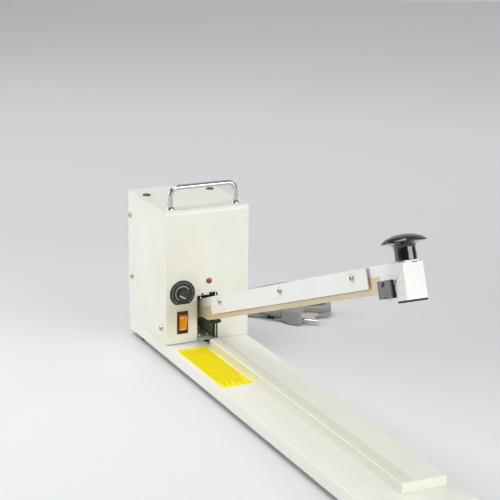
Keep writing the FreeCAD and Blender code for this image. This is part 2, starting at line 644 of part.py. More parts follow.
pot_can = rod("pot_can", d.pot_radius, d.pot_depth, (dial_x, d.cover_sheet, d.dial_z), "y")
pot_bush = rod("pot_bush", d.bush_radius, d.dial_thick + 3.5 + d.cover_sheet,
               (dial_x, d.cover_sheet, d.dial_z), "-y")
pot_nut = doc.addObject("Part::Prism", "pot_nut")
pot_nut.Polygon = 6
bind(pot_nut, "Circumradius", d.bush_radius * 1.42)
pot_nut.Height = 2.0
place(pot_nut, dial_x, -d.dial_thick, d.dial_z, TURNS["-y"])
pot_bore = rod("pot_bore", d.shaft_radius + d.pin_clearance, d.dial_thick + 3.5 + d.cover_sheet + 7,
               (dial_x, d.cover_sheet + 5, d.dial_z), "-y")
node(cut("potentiometer", fuse("pot_solid", pot_can, pot_bush, pot_nut), pot_bore), "timer_potentiometer")
node(rod("timer_spindle", d.shaft_radius, d.timer_knob_depth + d.dial_thick + d.cover_sheet + 3.4,
         (dial_x, d.cover_sheet + 4.5, d.dial_z), "-y"), "timer_shaft",
     (dial_x, face_y + d.cover_sheet + 4.5, shelf_z + d.dial_z), TURNS["-y"])

knob_start = d.dial_thick + 0.5
knob_end = knob_start + d.timer_knob_depth
turner = body("timer_knob")
knob_half = sketch(turner, "YZ_Plane")
outline(knob_half, [(-knob_start, d.bush_radius * 1.42 + 0.5), (-knob_start, d.timer_knob_radius + 0.8),
                    (-knob_start - 2.0, d.timer_knob_radius + 0.8), (-knob_start - 2.6, d.timer_knob_radius),
                    (-knob_end + 0.8, d.timer_knob_radius - 0.6), (-knob_end, d.timer_knob_radius - 1.4),
                    (-knob_end, 0.0), (-knob_end + 1.2, 0.0), (-knob_end + 1.2, d.shaft_radius),
                    (-knob_start - 3.4, d.shaft_radius),
                    (-knob_start - 3.4, d.bush_radius * 1.42 + 0.5)])
revolve(turner, knob_half, "H_Axis")
finger = sketch(turner, "XZ_Plane", knob_start + 3.6)
rectangle(finger, -0.9, d.shaft_radius + 0.6, 0.9, d.timer_knob_radius + 0.7)
pad(turner, finger, d.timer_knob_depth - 3.9)
pointer_turn = Rotation(Vector(0, 1, 0), -135)
node(turner, "timer_knob", (dial_x, face_y, shelf_z + d.dial_z), pointer_turn)

# Mains switch: a frame snapped into the face and the rocker that tips in it.
frame_low_x = dial_x - d.rocker_width / 2
frame_high_x = dial_x + d.rocker_width / 2
frame_low_z = d.rocker_z - d.rocker_height / 2
frame_high_z = d.rocker_z + d.rocker_height / 2
key_low_x = dial_x - d.key_width / 2
key_high_x = dial_x + d.key_width / 2
bezel = box("rocker_bezel", (frame_low_x, -d.rocker_bezel, frame_low_z), (frame_high_x, 0.0, frame_high_z))
well_body = box("rocker_well", (frame_low_x + 1, -d.rocker_bezel / 2, frame_low_z + 1),
                (frame_high_x - 1, d.rocker_depth, frame_high_z - 1))
well_space = box("rocker_space", (key_low_x - 0.3, -d.rocker_bezel - 1, d.rocker_z - d.key_height / 2 - 0.6),
                 (key_high_x + 0.3, 9.6, d.rocker_z + d.key_height / 2 + 0.6))
pin_depth = 3.6
key_pin = 1.2
pin_space = rod("rocker_pin_space", key_pin + d.pin_clearance, d.key_width + 1.6,
                (key_low_x - 0.8, pin_depth, d.rocker_z), "x")
tabs = [box("rocker_tab_%d" % index, (dial_x - 2.4, d.rocker_depth, d.rocker_z + offset - 0.4),
            (dial_x + 2.4, d.rocker_depth + 7, d.rocker_z + offset + 0.4))
        for index, offset in enumerate((-8, 0, 8), start=1)]
node(cut("rocker_frame_solid", fuse("rocker_casing", bezel, well_body, *tabs), well_space, pin_space), "rocker_frame")

# The rocker tips about its own pins behind the face; it rests pressed in at the bottom.
key = body("rocker_key")
key_side = sketch(key, "YZ_Plane")
half_key = d.key_height / 2
hollow_face = [(-pin_depth - 1.3 - 3.1 * (share * share), (half_key - 0.6) * share)
               for share in (-1.0, -0.75, -0.5, -0.25, 0.0, 0.25, 0.5, 0.75, 1.0)]
outline(key_side, hollow_face + [(-pin_depth + 1.0, half_key - 1.0),
                   (-pin_depth + 5.0, 2.6), (-pin_depth + 5.0, -2.6), (-pin_depth + 1.0, -half_key + 1.0)])
pad(key, key_side, d.key_width, midplane=True)
key_pins = sketch(key, "YZ_Plane")
circle(key_pins, 0.0, 0.0, key_pin)
pad(key, key_pins, d.key_width + 1.2, midplane=True)
tip = Rotation(Vector(1, 0, 0), float(d.rocker_swing) / 2)
node(key, "rocker_key", (dial_x, face_y + pin_depth, shelf_z + d.rocker_z), tip)

# Sealing lamp: a ring in the face and its lens.
ring = rod("lamp_ring", d.lamp_radius, 1.0, (d.lamp_x, 0.0, d.lamp_z), "-y")
ring_body = rod("lamp_barrel", d.lamp_radius - 0.7, d.cover_sheet + 5.5, (d.lamp_x, d.cover_sheet + 5, d.lamp_z), "-y")
ring_bore = rod("lamp_bore", d.lens_radius, 12.0, (d.lamp_x, d.cover_sheet + 6, d.lamp_z), "-y")
node(cut("lamp_holder", fuse("lamp_solid", ring, ring_body), ring_bore), "lamp_bezel")
lens = body("lamp_lens")
lens_half = sketch(lens, "YZ_Plane")
outline(lens_half, [(4.0, 0.0), (4.0, d.lens_radius - 0.05), (-1.0, d.lens_radius - 0.05),
                    (-1.8, d.lens_radius * 0.7), (-2.2, 0.0)])
revolve(lens, lens_half, "H_Axis")
node(lens, "lamp_lens", (d.lamp_x, face_y, shelf_z + d.lamp_z))

# Pivot bracket: a folded U with tall ears that carry the pin and the spring hanger.
ear_inner = half_arm + 2.0 + d.ear_gap
ear_outer = ear_inner + d.ear_sheet
bracket = body("pivot_bracket")
ear_side = sketch(bracket, "YZ_Plane")
outline(ear_side, [(d.ear_front, 0.0), (d.ear_back, 0.0), (d.ear_back, d.ear_shoulder),
                   (d.ear_front + 26, d.ear_top), (d.ear_front, d.ear_top)])
pad(bracket, ear_side, 2 * ear_outer, midplane=True)
between = sketch(bracket, "YZ_Plane")
rectangle(between, d.ear_front - 2, d.ear_sheet, d.ear_back + 2, d.ear_top + 2)
pocket(bracket, between, 2 * ear_inner, midplane=True)
bracket_holes = sketch(bracket, "YZ_Plane")
circle(bracket_holes, d.pivot_back, d.pivot_rise, d.pin_radius + d.pin_clearance)
circle(bracket_holes, d.spring_hook_y, d.ear_top - 8, 2.05)
pocket(bracket, bracket_holes, 4 * ear_outer, midplane=True)
base_holes = sketch(bracket, "XY_Plane", d.ear_sheet + 1)
for x, y in shelf_screws[:4]:
    circle(base_holes, x, y, d.screw_hole)
pocket(bracket, base_holes, d.ear_sheet + 2)
node(bracket, "pivot_bracket")
inner_screws = []
for index, (x, y) in enumerate(shelf_screws[:4]):
    inner_screws.append(pan_screw("bracket_screw_%d" % (index + 1), d.screw_radius, 7, (x, y, d.ear_sheet), "-z",
                                  d.screw_head - 0.6, d.head_height))

pin_bar = rod("pin_bar", d.pin_radius, 2 * ear_outer + 4, (-ear_outer - 2, d.pivot_back, d.pivot_rise), "x")
pin_heads = [rod("pin_head_%s" % side, d.pin_radius + 2, 1.8, (start, d.pivot_back, d.pivot_rise), "x")
             for side, start in (("left", -ear_outer - 2.0), ("right", ear_outer + 0.2))]
node(fuse("pin_solid", pin_bar, *pin_heads), "pivot_pin")

# Return spring: hung from a hanger bar across the ears, hooked to the arm's top in front of the pin.
hanger_z = d.ear_top - 8
node(rod("hanger_bar", 2.0, 2 * ear_outer + 3, (-ear_outer - 1.5, d.spring_hook_y, hanger_z), "x"),
     "spring_hanger", (-ear_outer - 1.5, face_y + d.spring_hook_y, shelf_z + hanger_z), TURNS["x"])
slope = math.radians(float(d.rest_angle))
lug_up = d.arm_top + 2.6
eye_up = float(lug_up) + 1.2
lug_y = float(d.pivot_back) - float(d.hook_arm) * math.cos(slope) + eye_up * math.sin(slope)
lug_z = float(d.pivot_rise) + float(d.hook_arm) * math.sin(slope) + eye_up * math.cos(slope)
coil_top = float(hanger_z) - 9.0
coil_bottom = lug_z + 11.0
spring_y = (float(d.spring_hook_y) + lug_y) / 2
spring = body("spring_coil")
wall = sketch(spring, "XZ_Plane")
turns = 9
step = (coil_top - coil_bottom) / turns
wire = float(d.spring_wire)
outer_side = []
for index in range(turns):
    base_z = coil_bottom + index * step
    outer_side.append((float(d.spring_radius) - wire * 0.55, base_z))
    outer_side.append((float(d.spring_radius), base_z + step / 2))
outer_side.append((float(d.spring_radius) - wire * 0.55, coil_top))
outline(wall, outer_side + [(float(d.spring_radius) - 2 * wire, coil_top),
                            (float(d.spring_radius) - 2 * wire, coil_bottom)])
revolve(spring, wall)
place(spring, 0.0, spring_y, 0.0)
eye_radius = 3.4
loop_gap = eye_radius - wire / 2
low_wire = lug_z + 1.8 - wire / 2
hooks = []
for name, eye_y, eye_z, facing, coil_end, side in (
        ("top", float(d.spring_hook_y), float(hanger_z) + 2.0 - loop_gap, "x", coil_top, -1),
        ("low", lug_y, low_wire + eye_radius, "y", coil_bottom, 1)):
    eye = doc.addObject("Part::Torus", name + "_eye")
    eye.Radius1 = eye_radius
    eye.Radius2 = wire / 2
    place(eye, 0.0, eye_y, eye_z, TURNS[facing])
    tail_from = Vector(0, eye_y, eye_z + side * eye_radius)
    tail_to = Vector(0, spring_y + float(d.spring_radius) - wire * 1.4, coil_end + side * 0.4)
    run = tail_to.sub(tail_from)
    tail = rod(name + "_tail", d.spring_wire / 2, run.Length, (0.0, eye_y, eye_z))
    tail.Placement = Placement(tail_from, Rotation(Vector(0, 0, 1), run))
    hooks.extend([eye, tail])
node(fuse("spring_solid", spring, *hooks), "return_spring")

# Rubber stop under the arm's tail, which sets the raised position.
tail_low = float(d.pivot_rise) - float(d.arm_tail) * math.sin(slope) + float(d.arm_foot) * math.cos(slope)
stop_height = tail_low - float(d.ear_sheet) - 0.3
node(cone("stop_solid", d.stop_radius, d.stop_radius - 0.8, stop_height, (0.0, d.stop_y, d.ear_sheet)),
     "arm_stop", (0.0, face_y + d.stop_y, shelf_z + d.ear_sheet))

# Switch worked by the arm's tail when the jaws close.
switch_low = d.pivot_rise + d.arm_top + 0.5
case = box("switch_case", (-ear_inner, 44.0, switch_low + 1.4), (-ear_inner + 6.4, 60.0, switch_low + 11.4))
plunger = rod("switch_plunger", 1.2, 3.0, (-ear_inner + 3.2, 55.0, switch_low))
leads = [box("switch_lead_%d" % index, (-ear_inner + 2.9, y, switch_low + 11.4), (-ear_inner + 3.5, y + 2.8, switch_low + 16))
         for index, y in enumerate((45.5, 50.5, 55.5), start=1)]
node(fuse("switch_solid", case, plunger, *leads), "closing_switch")

# Transformer: laminated core, winding, strap and screws.
core = body("transformer_core")
core_face = sketch(core, "XZ_Plane", -core_front)
rectangle(core_face, -core_half, 0.0, core_half, d.core_height)
for sign in (-1, 1):
    near_leg = sign * d.core_leg
    far_leg = sign * (core_half - d.core_leg)
    low_u, high_u = (near_leg, far_leg) if sign > 0 else (far_leg, near_leg)
    rectangle(core_face, low_u, d.core_leg, high_u, d.core_height - d.core_leg)
pad(core, core_face, core_back - core_front, reverse=True)
node(core, "transformer_core")
wrap_gap = 0.3
coil_half = core_half - d.core_leg - wrap_gap
coil_low = d.core_leg + wrap_gap
coil_high = d.core_height - d.core_leg - wrap_gap
winding = box("winding_block", (-coil_half, coil_front, coil_low), (coil_half, coil_back, coil_high))
leg_space = box("winding_leg", (-d.core_leg - wrap_gap, coil_front - 1, 0.0),
                (d.core_leg + wrap_gap, coil_back + 1, d.core_height))
winding_ends = [box("winding_%s_end" % name, (-d.core_leg - 1, low_y, coil_low), (d.core_leg + 1, high_y, coil_high))
                for name, low_y, high_y in (("front", coil_front, core_front - wrap_gap),
                                            ("back", core_back + wrap_gap, coil_back))]
node(fuse("winding", cut("winding_sides", winding, leg_space), *winding_ends), "transformer_winding")
strap = body("transformer_strap")
strap_face = sketch(strap, "XZ_Plane", d.strap_width / 2 - core_y)
strap_wall = core_half + wrap_gap
strap_top = d.core_height + wrap_gap
strap_end = core_half + d.strap_foot
outline(strap_face, [(-strap_end, 0.0), (-strap_wall, 0.0), (-strap_wall, strap_top), (strap_wall, strap_top),
                     (strap_wall, 0.0), (strap_end, 0.0), (strap_end, d.strap_sheet),
                     (strap_wall + d.strap_sheet, d.strap_sheet), (strap_wall + d.strap_sheet, strap_top + d.strap_sheet),
                     (-strap_wall - d.strap_sheet, strap_top + d.strap_sheet), (-strap_wall - d.strap_sheet, d.strap_sheet),
                     (-strap_end, d.strap_sheet)])
pad(strap, strap_face, d.strap_width, reverse=True)
strap_holes = sketch(strap, "XY_Plane", d.strap_sheet * 2)
for sign in (-1, 1):
    circle(strap_holes, sign * strap_screw_x, core_y, d.screw_hole)
pocket(strap, strap_holes, d.strap_sheet * 3)
node(strap, "transformer_strap")
for index, sign in enumerate((-1, 1), start=1):
    inner_screws.append(pan_screw("strap_screw_%d" % index, d.screw_radius, d.strap_sheet * 5,
                                  (sign * strap_screw_x, core_y, d.strap_sheet), "-z", d.screw_head, d.head_height))
node(group("inner_fasteners", *(inner_screws + angle_screws)), "shelf_screws")

# Timer board on spacers in front of the rear panel.
board_y = panel_in - d.board_stand
board_front = board_y - d.board_sheet
sheet_board = box("board_blank", (-board_half_width, board_front, board_low), (board_half_width, board_y, board_high))
board_drills = [rod("board_drill_%d%d" % (row, side), d.spacer_peg + 0.1, d.board_sheet * 3, (x, board_front - 1, z), "y")
                for row, z in enumerate(board_rows) for side, x in enumerate((-board_half, board_half))]
node(cut("board_drilled", sheet_board, *board_drills), "timer_board")
relay = box("relay_block", (-24.0, board_front - 16, board_low + 30), (-5.0, board_front, board_low + 45))
capacitor = rod("capacitor_can", 5.0, 12.0, (12.0, board_front, board_low + 36), "-y")
terminal = box("terminal_block", (0.0, board_front - 10, board_low + 8), (26.0, board_front, board_low + 18))
node(group("component_set", relay, capacitor, terminal), "board_components")
spacers = []
for row, z in enumerate(board_rows):
    for side, x in enumerate((-board_half, board_half)):
        name = "spacer_%d%d" % (row, side)
        post = rod(name + "_post", d.spacer_peg * 2, d.board_stand, (x, board_y, z), "y")
        peg = rod(name + "_peg", d.spacer_peg, d.board_stand + d.board_sheet + d.panel_sheet + 2, (x, board_front - 1, z), "y")
        spacers.append(fuse(name, post, peg))
node(group("spacer_set", *spacers), "board_spacers")

# Fuse holder in the rear panel.
back_y = d.housing_depth
fuse_spot = (fuse_x, back_y, fuse_z)
fuse_flange = rod("fuse_flange", d.fuse_radius + 2, 2.0, fuse_spot, "y")
fuse_cap = cone("fuse_cap", d.fuse_radius + 0.5, d.fuse_radius - 0.6, d.fuse_reach, fuse_spot, "y")
fuse_body = rod("fuse_body", d.fuse_radius, 20.0, fuse_spot, "-y")
fuse_tail = rod("fuse_tail", d.fuse_radius - 2, 28.0, fuse_spot, "-y")
fuse_slot = box("fuse_slot", (fuse_x - 0.7, back_y + d.fuse_reach - 1.5, fuse_z - 4),
                (fuse_x + 0.7, back_y + d.fuse_reach + 1, fuse_z + 4))
node(cut("fuse_holder_solid", fuse("fuse_turned", fuse_flange, fuse_cap, fuse_body, fuse_tail), fuse_slot),
     "fuse_holder")

# Arm: an upturned channel with a tail behind the pivot.
# In the arm's own frame the arm runs towards -Y and the jaw is below.
arm = body("arm_folded")
length_all = d.arm_end + d.arm_tail
arm_side = sketch(arm, "YZ_Plane")
outline(arm_side, [(-d.arm_end, d.arm_foot), (d.arm_tail, d.arm_foot), (d.arm_tail, d.arm_top - 4),
                   (d.arm_tail - 4, d.arm_top), (-d.arm_end, d.arm_top)])
pad(arm, arm_side, d.arm_width, midplane=True)
round_edges(arm, 1.0, lambda m, t: near(m.z, d.arm_top) and abs(t.y) > 0.9)
channel = sketch(arm, "XZ_Plane", d.arm_end)
rectangle(channel, -half_arm + d.arm_sheet, d.arm_foot - 1, half_arm - d.arm_sheet, d.arm_top - d.arm_sheet)
pocket(arm, channel, length_all + 2, reverse=False)
pin_hole = sketch(arm, "YZ_Plane")
circle(pin_hole, 0.0, 0.0, d.pin_radius + d.bush_wall + 0.02)
plate_middle = (d.plate_back + d.plate_front) / 2
screw_spots = [plate_middle + step_count * d.plate_screw_pitch for step_count in (-1, 0, 1)]
pocket(arm, pin_hole, d.arm_width + 2, midplane=True)
left_holes = sketch(arm, "YZ_Plane", -half_arm - 1)
for along in screw_spots:
    circle(left_holes, -along, d.plate_screw_up, d.screw_hole)
pocket(arm, left_holes, d.arm_sheet + 2, reverse=True)
lug_hole = sketch(arm, "XY_Plane", d.arm_top + 1)
rectangle(lug_hole, -0.85, -d.hook_arm - 4.2, 0.85, -d.hook_arm + 4.2)
pocket(arm, lug_hole, d.arm_sheet + 2)
knob_hole = sketch(arm, "XY_Plane", d.arm_top + 1)
circle(knob_hole, 0.0, -d.knob_along, 3.2)
pocket(arm, knob_hole, d.arm_sheet + 2)
# The rail on which the parked cutter hangs, in line with the clamping plate.
plate_x = -half_arm - d.plate_standoff
carriage_end = d.cutter_back + d.cutter_length
dock_rail = box("dock_rail", (plate_x - d.plate_sheet, -carriage_end - 0.2, d.plate_bottom),
                (plate_x, -d.cutter_back + 3, d.cutter_top - 0.8))
dock_web = box("dock_web", (plate_x - d.plate_sheet, -carriage_end - 0.2, d.cutter_top - 1.7),
               (-half_arm + 0.2, -d.cutter_back + 3, d.cutter_top - 0.8))
arm_node(fuse("arm_solid", arm, dock_rail, dock_web), "arm_channel")

# Lug on the arm's top for the spring.
lug = body("spring_lug")
lug_face = sketch(lug, "YZ_Plane")
outline(lug_face, [(-d.hook_arm - 4, d.arm_top - d.arm_sheet - 2), (-d.hook_arm + 4, d.arm_top - d.arm_sheet - 2),
                   (-d.hook_arm + 4, lug_up), (-d.hook_arm + 2.4, lug_up + 4.6),
                   (-d.hook_arm - 2.4, lug_up + 4.6), (-d.hook_arm - 4, lug_up)])
circle(lug_face, -d.hook_arm, lug_up + 1.2, 1.9)
pad(lug, lug_face, 1.5, midplane=True)
arm_node(lug, "spring_lug")

bush_outer = rod("bush_outer", d.pin_radius + d.bush_wall, d.arm_width + 4, (-half_arm - 2, 0.0, 0.0), "x")
bush_inner = rod("bush_inner", d.pin_radius + d.pin_clearance, d.arm_width + 8, (-half_arm - 4, 0.0, 0.0), "x")
arm_node(cut("bush_tube", bush_outer, bush_inner), "pivot_bush")

# Jaw bar under the channel, with the heating element along its face.
jaw = body("jaw_bar")
jaw_section = sketch(jaw, "XZ_Plane", d.jaw_back)
jaw_left = 0.25 - half_arm
jaw_right_top = half_arm - d.arm_sheet - 0.1
jaw_left_top = -half_arm + d.arm_sheet + 0.1
outline(jaw_section, [(jaw_left, d.jaw_bottom), (d.jaw_right, d.jaw_bottom), (d.jaw_right + 1.5, d.jaw_bottom + 1.5),
                      (half_arm - 0.2, d.arm_foot - 0.1), (jaw_right_top, d.arm_foot - 0.1), (jaw_right_top, d.jaw_top),
                      (jaw_left_top, d.jaw_top), (jaw_left_top, d.arm_foot - 0.1), (jaw_left, d.arm_foot - 0.1)])
pad(jaw, jaw_section, d.jaw_front - d.jaw_back)
groove = sketch(jaw, "XZ_Plane", d.jaw_front + 1)
element_mid = (d.pad_left + 1.2 + d.pad_right) / 2
rectangle(groove, element_mid - d.element_width / 2 - 0.1, d.jaw_bottom - 1,
          element_mid + d.element_width / 2 + 0.1, d.jaw_bottom + d.element_thick)
pocket(jaw, groove, d.jaw_front - d.jaw_back + 2)
arm_node(jaw, "jaw_bar")
element = box("element_strip", (element_mid - d.element_width / 2, -d.jaw_front, d.jaw_bottom),
              (element_mid + d.element_width / 2, -d.jaw_back, d.jaw_bottom + d.element_thick))
arm_node(group("element_solid", element), "heating_element")

# Coated cloth folded over the jaw and up the arm's left side, under the clamping plate.
cloth = body("cloth")
cloth_out = d.cloth_thick
cloth_left = -half_arm - d.cloth_thick
cloth_face = sketch(cloth, "XZ_Plane", d.jaw_back - 1)
outline(cloth_face, [(cloth_left, d.jaw_bottom - cloth_out), (d.jaw_right, d.jaw_bottom - cloth_out),
                     (d.jaw_right, d.jaw_bottom), (-half_arm, d.jaw_bottom), (-half_arm, d.cloth_top),
                     (cloth_left, d.cloth_top)])
pad(cloth, cloth_face, d.cloth_front - d.jaw_back + 1)
corner = sketch(cloth, "YZ_Plane", cloth_left - 1)
outline(corner, [(-d.jaw_back + 2, d.cloth_top), (-d.jaw_back + 2, d.jaw_bottom - 2),
                 (-d.jaw_back - d.cloth_slant, d.jaw_bottom - 2)])
pocket(cloth, corner, 40.0, reverse=True)
arm_node(cloth, "release_cloth")

# Clamping plate along the left side, held off by spacers, and its screws.
clamp = body("clamp_plate")
clamp_face = sketch(clamp, "YZ_Plane", plate_x)
rectangle(clamp_face, -d.plate_front, d.plate_bottom, -d.plate_back, d.arm_top)
for along in screw_spots:
    circle(clamp_face, -along, d.plate_screw_up, d.screw_hole)
pad(clamp, clamp_face, d.plate_sheet, reverse=True)
arm_node(clamp, "clamp_plate")
clamp_screws = []
washers = []
for index, along in enumerate(screw_spots, start=1):
    clamp_screws.append(pan_screw("clamp_screw_%d" % index, d.screw_radius, d.plate_sheet + d.plate_standoff + 5,
                                  (plate_x - d.plate_sheet, -along, d.plate_screw_up), "x", d.screw_head,
                                  d.head_height))
    disc = rod("washer_disc_%d" % index, 4.2, d.plate_standoff - 0.0, (plate_x, -along, d.plate_screw_up), "x")
    eyelet = rod("washer_eye_%d" % index, d.screw_hole, 8.0, (plate_x - 2, -along, d.plate_screw_up), "x")
    foot_cut = box("washer_flat_%d" % index, (plate_x - 1, -along - 6, d.cloth_top - 6),
                   (-half_arm + 1, -along + 6, d.cloth_top + 0.1))
    washers.append(cut("washer_%d" % index, disc, eyelet, foot_cut))
arm_node(group("clamp_fasteners", *clamp_screws), "clamp_screws")
arm_node(group("washer_set", *washers), "plate_spacers")

# Boot over the element's connection, under the jaw's back end.
boot = body("element_boot")
boot_top = d.jaw_bottom - d.cloth_thick
boot_face = sketch(boot, "YZ_Plane", -1.5)
outline(boot_face, [(-d.jaw_back - 9.5, boot_top - 4.4), (-d.jaw_back - 0.5, boot_top - 4.4),
                    (-d.jaw_back - 0.5, boot_top), (-d.jaw_back - 9.5, boot_top)])
pad(boot, boot_face, 9.5)
round_edges(boot, 1.8, lambda m, t: abs(t.x) > 0.8 and m.z < float(boot_top) - 1)
arm_node(boot, "element_boot")

# End of the arm: a folded cap that drops below the jaw, its pad, and the pull knob.
cap_half = d.box_width / 2
box_back = d.box_front - d.box_depth
cap = body("end_cap")
cap_side = sketch(cap, "YZ_Plane")
outline(cap_side, [(-d.box_front, d.box_bottom), (-box_back - 2, d.box_bottom), (-box_back, d.box_knee),
                   (-d.box_front + 4, d.box_top), (-d.box_front, d.box_top)])
pad(cap, cap_side, 2 * cap_half, midplane=True)
cap_space = sketch(cap, "YZ_Plane")
outline(cap_space, [(-d.box_front + d.box_sheet, d.box_bottom + d.box_sheet), (-box_back + 5, d.box_bottom + d.box_sheet),
                    (-box_back + 5, d.arm_top + 5), (-d.box_front + d.box_sheet, d.arm_top + 5)])
pocket(cap, cap_space, 2 * cap_half - 2 * d.box_sheet, midplane=True)
arm_node(cap, "end_cap")
arm_node(group("end_pad_solid", box("end_pad_block", (-cap_half, -d.box_front, d.box_bottom - d.end_pad_thick),
                                   (cap_half, -box_back - 2, d.box_bottom))), "end_pad")

grip = body("pull_knob")
grip_half = sketch(grip, "YZ_Plane")
seat_up = d.arm_top + 0.2
cap_up = seat_up + d.knob_height
outline(grip_half, [(0.0, seat_up), (d.knob_stem, seat_up), (d.knob_stem - 0.2, seat_up + 12),
                    (d.knob_stem + 0.6, seat_up + 13.8), (d.knob_stem + 3, seat_up + 15.0),
                    (d.knob_cap - 2, seat_up + 15.8), (d.knob_cap, seat_up + 16.6), (d.knob_cap - 0.4, seat_up + 17.4),
                    (d.knob_cap - 4, seat_up + 20.2), (d.knob_cap - 10, seat_up + 22.8), (5.5, cap_up), (0.0, cap_up)])
revolve(grip, grip_half)
bore_start = sketch(grip, "XY_Plane", seat_up)
circle(bore_start, 0.0, 0.0, 3.05)
pocket(grip, bore_start, 14.0, reverse=True)
knob_place = Placement(Vector(0, float(face_y + d.pivot_back), float(shelf_z + d.pivot_rise)),
                       Rotation(Vector(1, 0, 0), -float(d.rest_angle)))
knob_place = knob_place.multiply(Placement(Vector(0, -float(d.knob_along), 0), Rotation()))
grip.Placement = knob_place
grip.Label = "pull_knob"
NODES.append(grip)
stud_bar = rod("stud_bar", 3.0, 18.0, (0.0, -d.knob_along, d.arm_top - 5.0))
stud_nut = doc.addObject("Part::Prism", "stud_nut")
stud_nut.Polygon = 6
stud_nut.Circumradius = 5.6
stud_nut.Height = 4.5
place(stud_nut, 0.0, -d.knob_along, d.arm_top - d.arm_sheet - 4.5)
arm_node(fuse("stud_solid", stud_bar, stud_nut), "knob_stud")

# Cutter carriage: rides on the lower edge of the clamping plate, parked at the arm's end.
outer_x = plate_x - d.plate_sheet - d.cutter_gap
hook_x = plate_x + d.cutter_gap
skin_x = outer_x - d.cutter_body
inner_x = -half_arm - d.cloth_thick - d.cutter_gap
carriage = body("cutter_carriage")
carriage_face = sketch(carriage, "XZ_Plane", d.cutter_back)
under = d.plate_bottom - d.cutter_gap / 3
below_cloth = d.jaw_bottom - d.cloth_thick - d.cutter_gap
outline(carriage_face, [(skin_x, d.cutter_bottom), (skin_x, d.cutter_top), (outer_x, d.cutter_top), (outer_x, under),
                        (hook_x, under), (hook_x, under + 3.5), (inner_x, under + 3.5), (inner_x, below_cloth),
                        (d.blade_side, below_cloth), (d.blade_side, d.cutter_bottom)])
pad(carriage, carriage_face, d.cutter_length)
arm_node(carriage, "cutter_carriage")

outer_skin = box("skin_block", (skin_x - d.cutter_skin, -carriage_end, d.cutter_bottom), (skin_x, -d.cutter_back, d.cutter_top))
skin_notch = box("skin_notch", (skin_x - d.cutter_skin - 1, -carriage_end + 9, d.cutter_bottom - 1),
                 (skin_x + 1, -carriage_end + 14, d.cutter_bottom + 1.4))
skin_hole = rod("skin_hole", d.screw_hole, 4.0, (skin_x - d.cutter_skin - 1, -d.cutter_back - 10, d.cutter_top - 4.2), "x")
arm_node(cut("skin_cut", outer_skin, skin_notch, skin_hole), "cutter_cover")
blade = body("cutter_blade")
blade_face = sketch(blade, "YZ_Plane", d.blade_side)
outline(blade_face, [(-d.cutter_back - 3, below_cloth - 0.3), (-carriage_end + 3, below_cloth - 0.3),
                     (-carriage_end + 3, d.cutter_bottom - 0.6), (-d.cutter_back - 7, d.cutter_bottom - 3.4),
                     (-d.cutter_back - 3, d.cutter_bottom - 0.6)])
pad(blade, blade_face, d.blade_thick)
arm_node(blade, "cutter_blade")

# Mains lead: relief at the panel, the free stretch, the tied hank and the plug.
cord_lift = d.cord_radius + d.cord_rest
floor_z = -shelf_z
relief_start = (d.relief_x, back_y, d.relief_z)
relief_cone = cone("relief_cone", d.relief_radius - 0.1, d.cord_radius + 1.0, d.relief_length, relief_start, "y")
relief_flange = rod("relief_flange", d.relief_radius + 2.4, 3.0, relief_start, "y")
relief_neck = rod("relief_neck", d.relief_radius - 0.05, d.panel_sheet + 1, relief_start, "-y")
relief_clip = rod("relief_clip", d.relief_radius + 1.6, 5.0, (d.relief_x, back_y - d.panel_sheet, d.relief_z), "-y")
node(fuse("relief_solid", relief_cone, relief_flange, relief_neck, relief_clip), "strain_relief")

floor_line = float(cord_lift)
exit_y = float(back_y + d.relief_length)
exit_z = float(shelf_z + d.relief_z)
relief_at = float(d.relief_x)
# The free stretch, in the housing's frame across, and from the floor upwards.
FREE_ROUTE = ((relief_at, exit_y, exit_z), (relief_at, exit_y + 20, exit_z), (33, 199, 31), (43, 220, 17),
              (63, 228.5, 5.8), (89, 226, floor_line), (112, 213, floor_line), (136, 209, floor_line),
              (160, 220.5, floor_line), (183, 229, floor_line), (207, 232, floor_line), (229, 228, floor_line),
              (247, 213, floor_line), (253, 191, floor_line), (248, 168, floor_line), (234, 147, floor_line),
              (215, 130, floor_line), (195, 121.5, floor_line + 0.3), (173, 124.5, floor_line + 0.7),
              (158, 130.5, floor_line + 0.9))
PLUG_SPOT = Vector(152, 75, 10.5)
PLUG_TURN = -43.0
hank_turn = -26.6
HANK_SPOT = Vector(160, 110, 0)
plug_way = Vector(math.cos(math.radians(PLUG_TURN)), math.sin(math.radians(PLUG_TURN)), 0)
plug_half = 13.0
ribs_length = 17.0
tail_start = PLUG_SPOT - plug_way * (plug_half + ribs_length + 0.2)
TAIL_ROUTE = ((tail_start.x, tail_start.y, tail_start.z),
              (tail_start.x - plug_way.x * 13, tail_start.y - plug_way.y * 13, tail_start.z + 0.7),
              (111.5, 117, 13))


